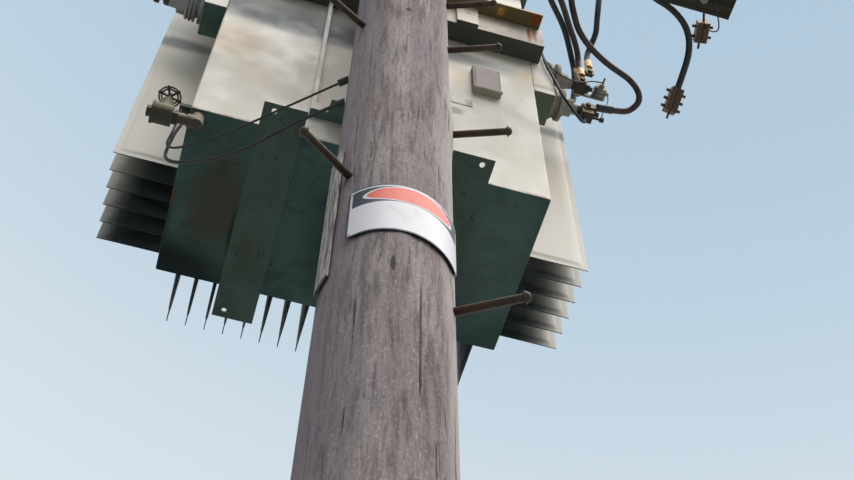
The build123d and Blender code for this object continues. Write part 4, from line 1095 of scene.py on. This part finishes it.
cordLook = {
    "lv_tail_1": (0.024, 0.877, "sheathBrown", [
        (903.3, 319.7, 939.7), (956.6, 319.7, 953), (984, 303, 966), (1003, 275, 985), (992, 246, 1013),
        (955, 225, 1046), (911, 210, 1051), (869, 195, 1048), (824, 175, 1047), (778, 149, 1042),
        (734, 119, 1039), (694, 83, 1042), (667, 43, 1047), (641, -1, 1049), (620, -47, 1046),
        (607, -96, 1039), (600, -147, 1032), (600, -200, 1030), (600, -252, 1030)]),
    "lv_tail_2": (0.024, 0.823, "sheathBrown", [
        (804.3, 319.7, 1252), (804.3, 319.7, 1307), (793, 287, 1350), (764, 242, 1356), (733, 200, 1341),
        (704, 159, 1319), (677, 118, 1295), (649, 78, 1269), (618, 38, 1243), (591, -4, 1215),
        (571, -45, 1181), (558, -82, 1142), (551, -115, 1097), (548, -147, 1052), (545, -196, 1030),
        (545, -252, 1030)]),
    "lv_tail_3": (0.024, 0.934, "sheathBlue", [
        (856.8, 335.2, 1400.5), (856.8, 335.2, 1455.5), (868, 299, 1499), (875, 246, 1513), (858, 192, 1507),
        (843, 140, 1494), (827, 95, 1467), (814, 61, 1425), (802, 31, 1380), (783, 1, 1337), (764, -29, 1295),
        (744, -56, 1250), (728, -81, 1204), (712, -105, 1156), (701, -127, 1107), (693, -151, 1058),
        (690, -197, 1030), (690, -252, 1030)]),
    "lv_tail_4": (0.024, 1.260, "sheathBlue", [
        (620, 452, 1040), (674, 452, 1040), (725, 450, 1057), (766, 445, 1092), (792, 439, 1139),
        (807, 428, 1189), (812, 412, 1240), (809, 389, 1289), (805, 362, 1339), (785, 329, 1375),
        (760, 286, 1380), (733, 242, 1369), (705, 201, 1351), (674, 162, 1329), (641, 124, 1304),
        (609, 86, 1277), (581, 48, 1248), (556, 11, 1216), (536, -27, 1182), (520, -64, 1145),
        (511, -105, 1094), (503, -148, 1047), (500, -198, 1030), (500, -252, 1030)]),
    "line_tail": (0.025, 0.594, "sheathBlack", [
        (850, -249, 1030), (850, -203, 1030), (860, -161, 1037), (893, -125, 1050), (937, -104, 1056),
        (987, -92, 1055), (1035, -71, 1048), (1076, -40, 1041), (1105, 1, 1034), (1121, 46, 1028),
        (1127, 88, 1022), (1127, 124, 1013), (1125, 155, 998), (1119, 184, 974)]),
    "neutral_bond": (0.011, 0.745, "sheathBlack", [
        (611, 300, 1340), (611, 300, 1306), (619, 289, 1266), (627, 277, 1220), (629, 271, 1168),
        (629, 268, 1116), (637, 269, 1060), (651, 270, 990), (664, 269, 920), (674, 270, 862),
        (690, 275, 816), (714, 287, 783), (742, 306, 770), (768, 326, 777), (786, 339, 802),
        (794, 345.4, 835), (794, 345.4, 868)]),
    "arrester_lead": (0.005, 0.525, "sheathBlack", [
        (625, 309, 1340), (625, 309, 1312), (631, 302, 1280), (638, 293, 1240), (641, 286, 1195),
        (647, 284, 1148), (662, 282, 1100), (688, 282, 1058), (723, 284, 1040), (757, 291, 1052),
        (790, 298, 1082), (818, 303, 1114), (846, 303, 1136), (880, 303, 1142)]),
    "rod_lead": (0.005, 0.252, "sheathBlack", [
        (915, 344.8, 1135.8), (916, 345, 1108), (910, 345, 1070), (898, 345, 1023), (883, 345, 975),
        (871, 345, 930), (865, 345.5, 890.3)]),
    "clamp_lead": (0.005, 0.310, "sheathBlack", [
        (1094, -205, 905.7), (1094, -205, 884), (1103, -190, 866), (1120, -163, 858), (1138, -133, 866),
        (1150, -107, 890), (1154, -84, 930), (1152, -66, 982), (1150, -54, 1040.2)]),
    "earth_lead_thin": (0.007, 0.894, "sheathBlack", [
        (-609, 370, 153), (-609, 370, 78), (-610, 360, 1), (-612, 352, -77), (-614, 345, -125),
        (-611, 338, -170), (-590, 325, -203), (-552, 305, -206), (-500, 277, -187), (-440, 247, -159),
        (-380, 212, -126), (-318, 174, -88), (-255, 133, -60), (-200, 95, -36), (-166, 72, -22)]),
    "earth_lead_thick": (0.0105, 0.967, "sheathBlack", [
        (-592, 375, 153), (-592, 375, 75), (-604, 366, -20), (-606, 356, -115), (-608, 348, -190),
        (-602, 338, -247), (-577, 323, -288), (-530, 300, -306), (-465, 266, -315), (-395, 226, -303),
        (-325, 176, -262), (-258, 128, -222), (-195, 83, -203), (-163, 60, -196)]),
}


def makeCord(node, diameter, length, material, route):
    name = pieceName(node)
    points = np.round(np.array(route) / 1000 + vec(0, 0, tankBottom), 4)
    curve = bpy.data.curves.new(name, "CURVE")
    curve.dimensions = "3D"
    curve.bevel_depth = diameter / 2
    curve.bevel_resolution = 5
    curve.resolution_u = 10
    curve.use_fill_caps = True
    line = curve.splines.new("NURBS")
    line.points.add(len(points) - 1)
    line.points.foreach_set("co", np.c_[points, np.ones(len(points))].ravel())
    line.order_u = 3
    line.use_endpoint_u = True
    curve.materials.append(materials[material])
    piece = newObject(name, curve)
    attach(piece, "root")
    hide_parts(node)


for node, row in cordLook.items():
    makeCord(node, *row)
report("cords")


# Camera, floor and light

cameraLook = {"place": (-0.359, -1.61, 1.6136), "azimuth": 15.6395, "elevation": 59.5884, "roll": 0.4793,
              "focal": 1373.5446, "imageWidth": 854}


def makeCamera():
    # axes from the azimuth, elevation and roll that the photograph was taken at
    look = cameraLook
    a, e, r = (math.radians(look[key]) for key in ("azimuth", "elevation", "roll"))
    ahead = Vector((math.sin(a) * math.cos(e), math.cos(a) * math.cos(e), math.sin(e)))
    right = Vector((math.cos(a), -math.sin(a), 0))
    up = right.cross(ahead)
    turnedRight = right * math.cos(r) + up * math.sin(r)
    turnedUp = -right * math.sin(r) + up * math.cos(r)
    data = bpy.data.cameras.new("photoCamera")
    data.sensor_width = 36
    data.lens = 36 * look["focal"] / look["imageWidth"]
    data.clip_start = 0.05
    data.clip_end = 300
    camera = newObject("photoCamera", data)
    rotation = Matrix((turnedRight, turnedUp, -ahead)).transposed().to_4x4()
    camera.matrix_world = Matrix.Translation(look["place"]) @ rotation
    bpy.context.scene.camera = camera


def seenOrLit(tree):
    # 1 for rays that show the background: camera, glossy and transmission
    rays = addNode(tree, "ShaderNodeLightPath").outputs
    seen = calc(tree, "MAXIMUM", rays["Is Camera Ray"], rays["Is Glossy Ray"])
    return calc(tree, "MAXIMUM", seen, rays["Is Transmission Ray"])


stageLook = {"floor": (0.80, 0.83, 0.85, 1), "floorBounce": (0.07, 0.085, 0.08, 1), "floorHalf": 60.0,
             "floorDrop": 0.002, "skyHigh": lin(177, 201, 220), "skyLow": lin(218, 229, 236),
             "skyTilt": 0.134, "skyHeights": (0.68, 0.97), "skyLight": (0.93, 0.97, 1.0, 1),
             "zenith": 0.90, "horizon": 0.17, "lightHeights": (-0.15, 0.55), "sunPower": 4.9,
             "sunAngle": 62.0, "sunAzimuth": 34.0, "sunElevation": 60.0, "sunColour": (1.0, 0.97, 0.92)}


def makeFloor():
    across = np.linspace(-stageLook["floorHalf"], stageLook["floorHalf"], 5)
    u, v = np.meshgrid(across, across, indexing="ij")
    points = np.stack([u, v, np.full_like(u, -stageLook["floorDrop"])], -1).reshape(-1, 3)
    mesh = fillMesh("floor", points, gridQuads(5, 5)[:, ::-1])
    floor = newObject("floor", mesh)
    material, tree = newMaterial("floorPaint", 0.9, level=0.1)
    colour = blendColour(tree, seenOrLit(tree), stageLook["floorBounce"], stageLook["floor"])
    mesh.materials.append(finish(material, colour))


def makeWorld():
    look = stageLook
    world = bpy.data.worlds.new("studio")
    bpy.context.scene.world = world
    world.use_nodes = True
    tree = world.node_tree
    tree.nodes.clear()
    # the sky's colour and strength change with the height that a ray points to
    x, _, z = splitVector(tree, addNode(tree, "ShaderNodeTexCoord").outputs["Generated"])
    strength = spread(tree, z, *look["lightHeights"], look["horizon"], look["zenith"])
    light = addNode(tree, "ShaderNodeBackground", {"Color": look["skyLight"], "Strength": strength})
    height = spread(tree, total(tree, (z, 1.0), (x, look["skyTilt"])), *look["skyHeights"])
    skyColour = blendColour(tree, height, look["skyLow"], look["skyHigh"])
    sight = addNode(tree, "ShaderNodeBackground", {"Color": skyColour})
    mix = addNode(tree, "ShaderNodeMixShader", {0: seenOrLit(tree), 1: light.outputs[0], 2: sight.outputs[0]})
    addNode(tree, "ShaderNodeOutputWorld", {"Surface": mix.outputs[0]})


def makeSun():
    # wide soft sun, high in front and to the right
    look = stageLook
    azimuth, elevation = math.radians(look["sunAzimuth"]), math.radians(look["sunElevation"])
    way = Vector((math.sin(azimuth) * math.cos(elevation), -math.cos(azimuth) * math.cos(elevation),
                  math.sin(elevation)))
    data = bpy.data.lights.new("softSun", "SUN")
    data.energy = look["sunPower"]
    data.angle = math.radians(look["sunAngle"])
    data.color = look["sunColour"]
    lamp = newObject("softSun", data)
    lamp.location = way * 20
    lamp.rotation_euler = way.to_track_quat("Z", "Y").to_euler()


makeCamera()
makeFloor()
makeWorld()
makeSun()
bpy.context.scene.view_settings.view_transform = "Standard"

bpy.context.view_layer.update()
report("done")
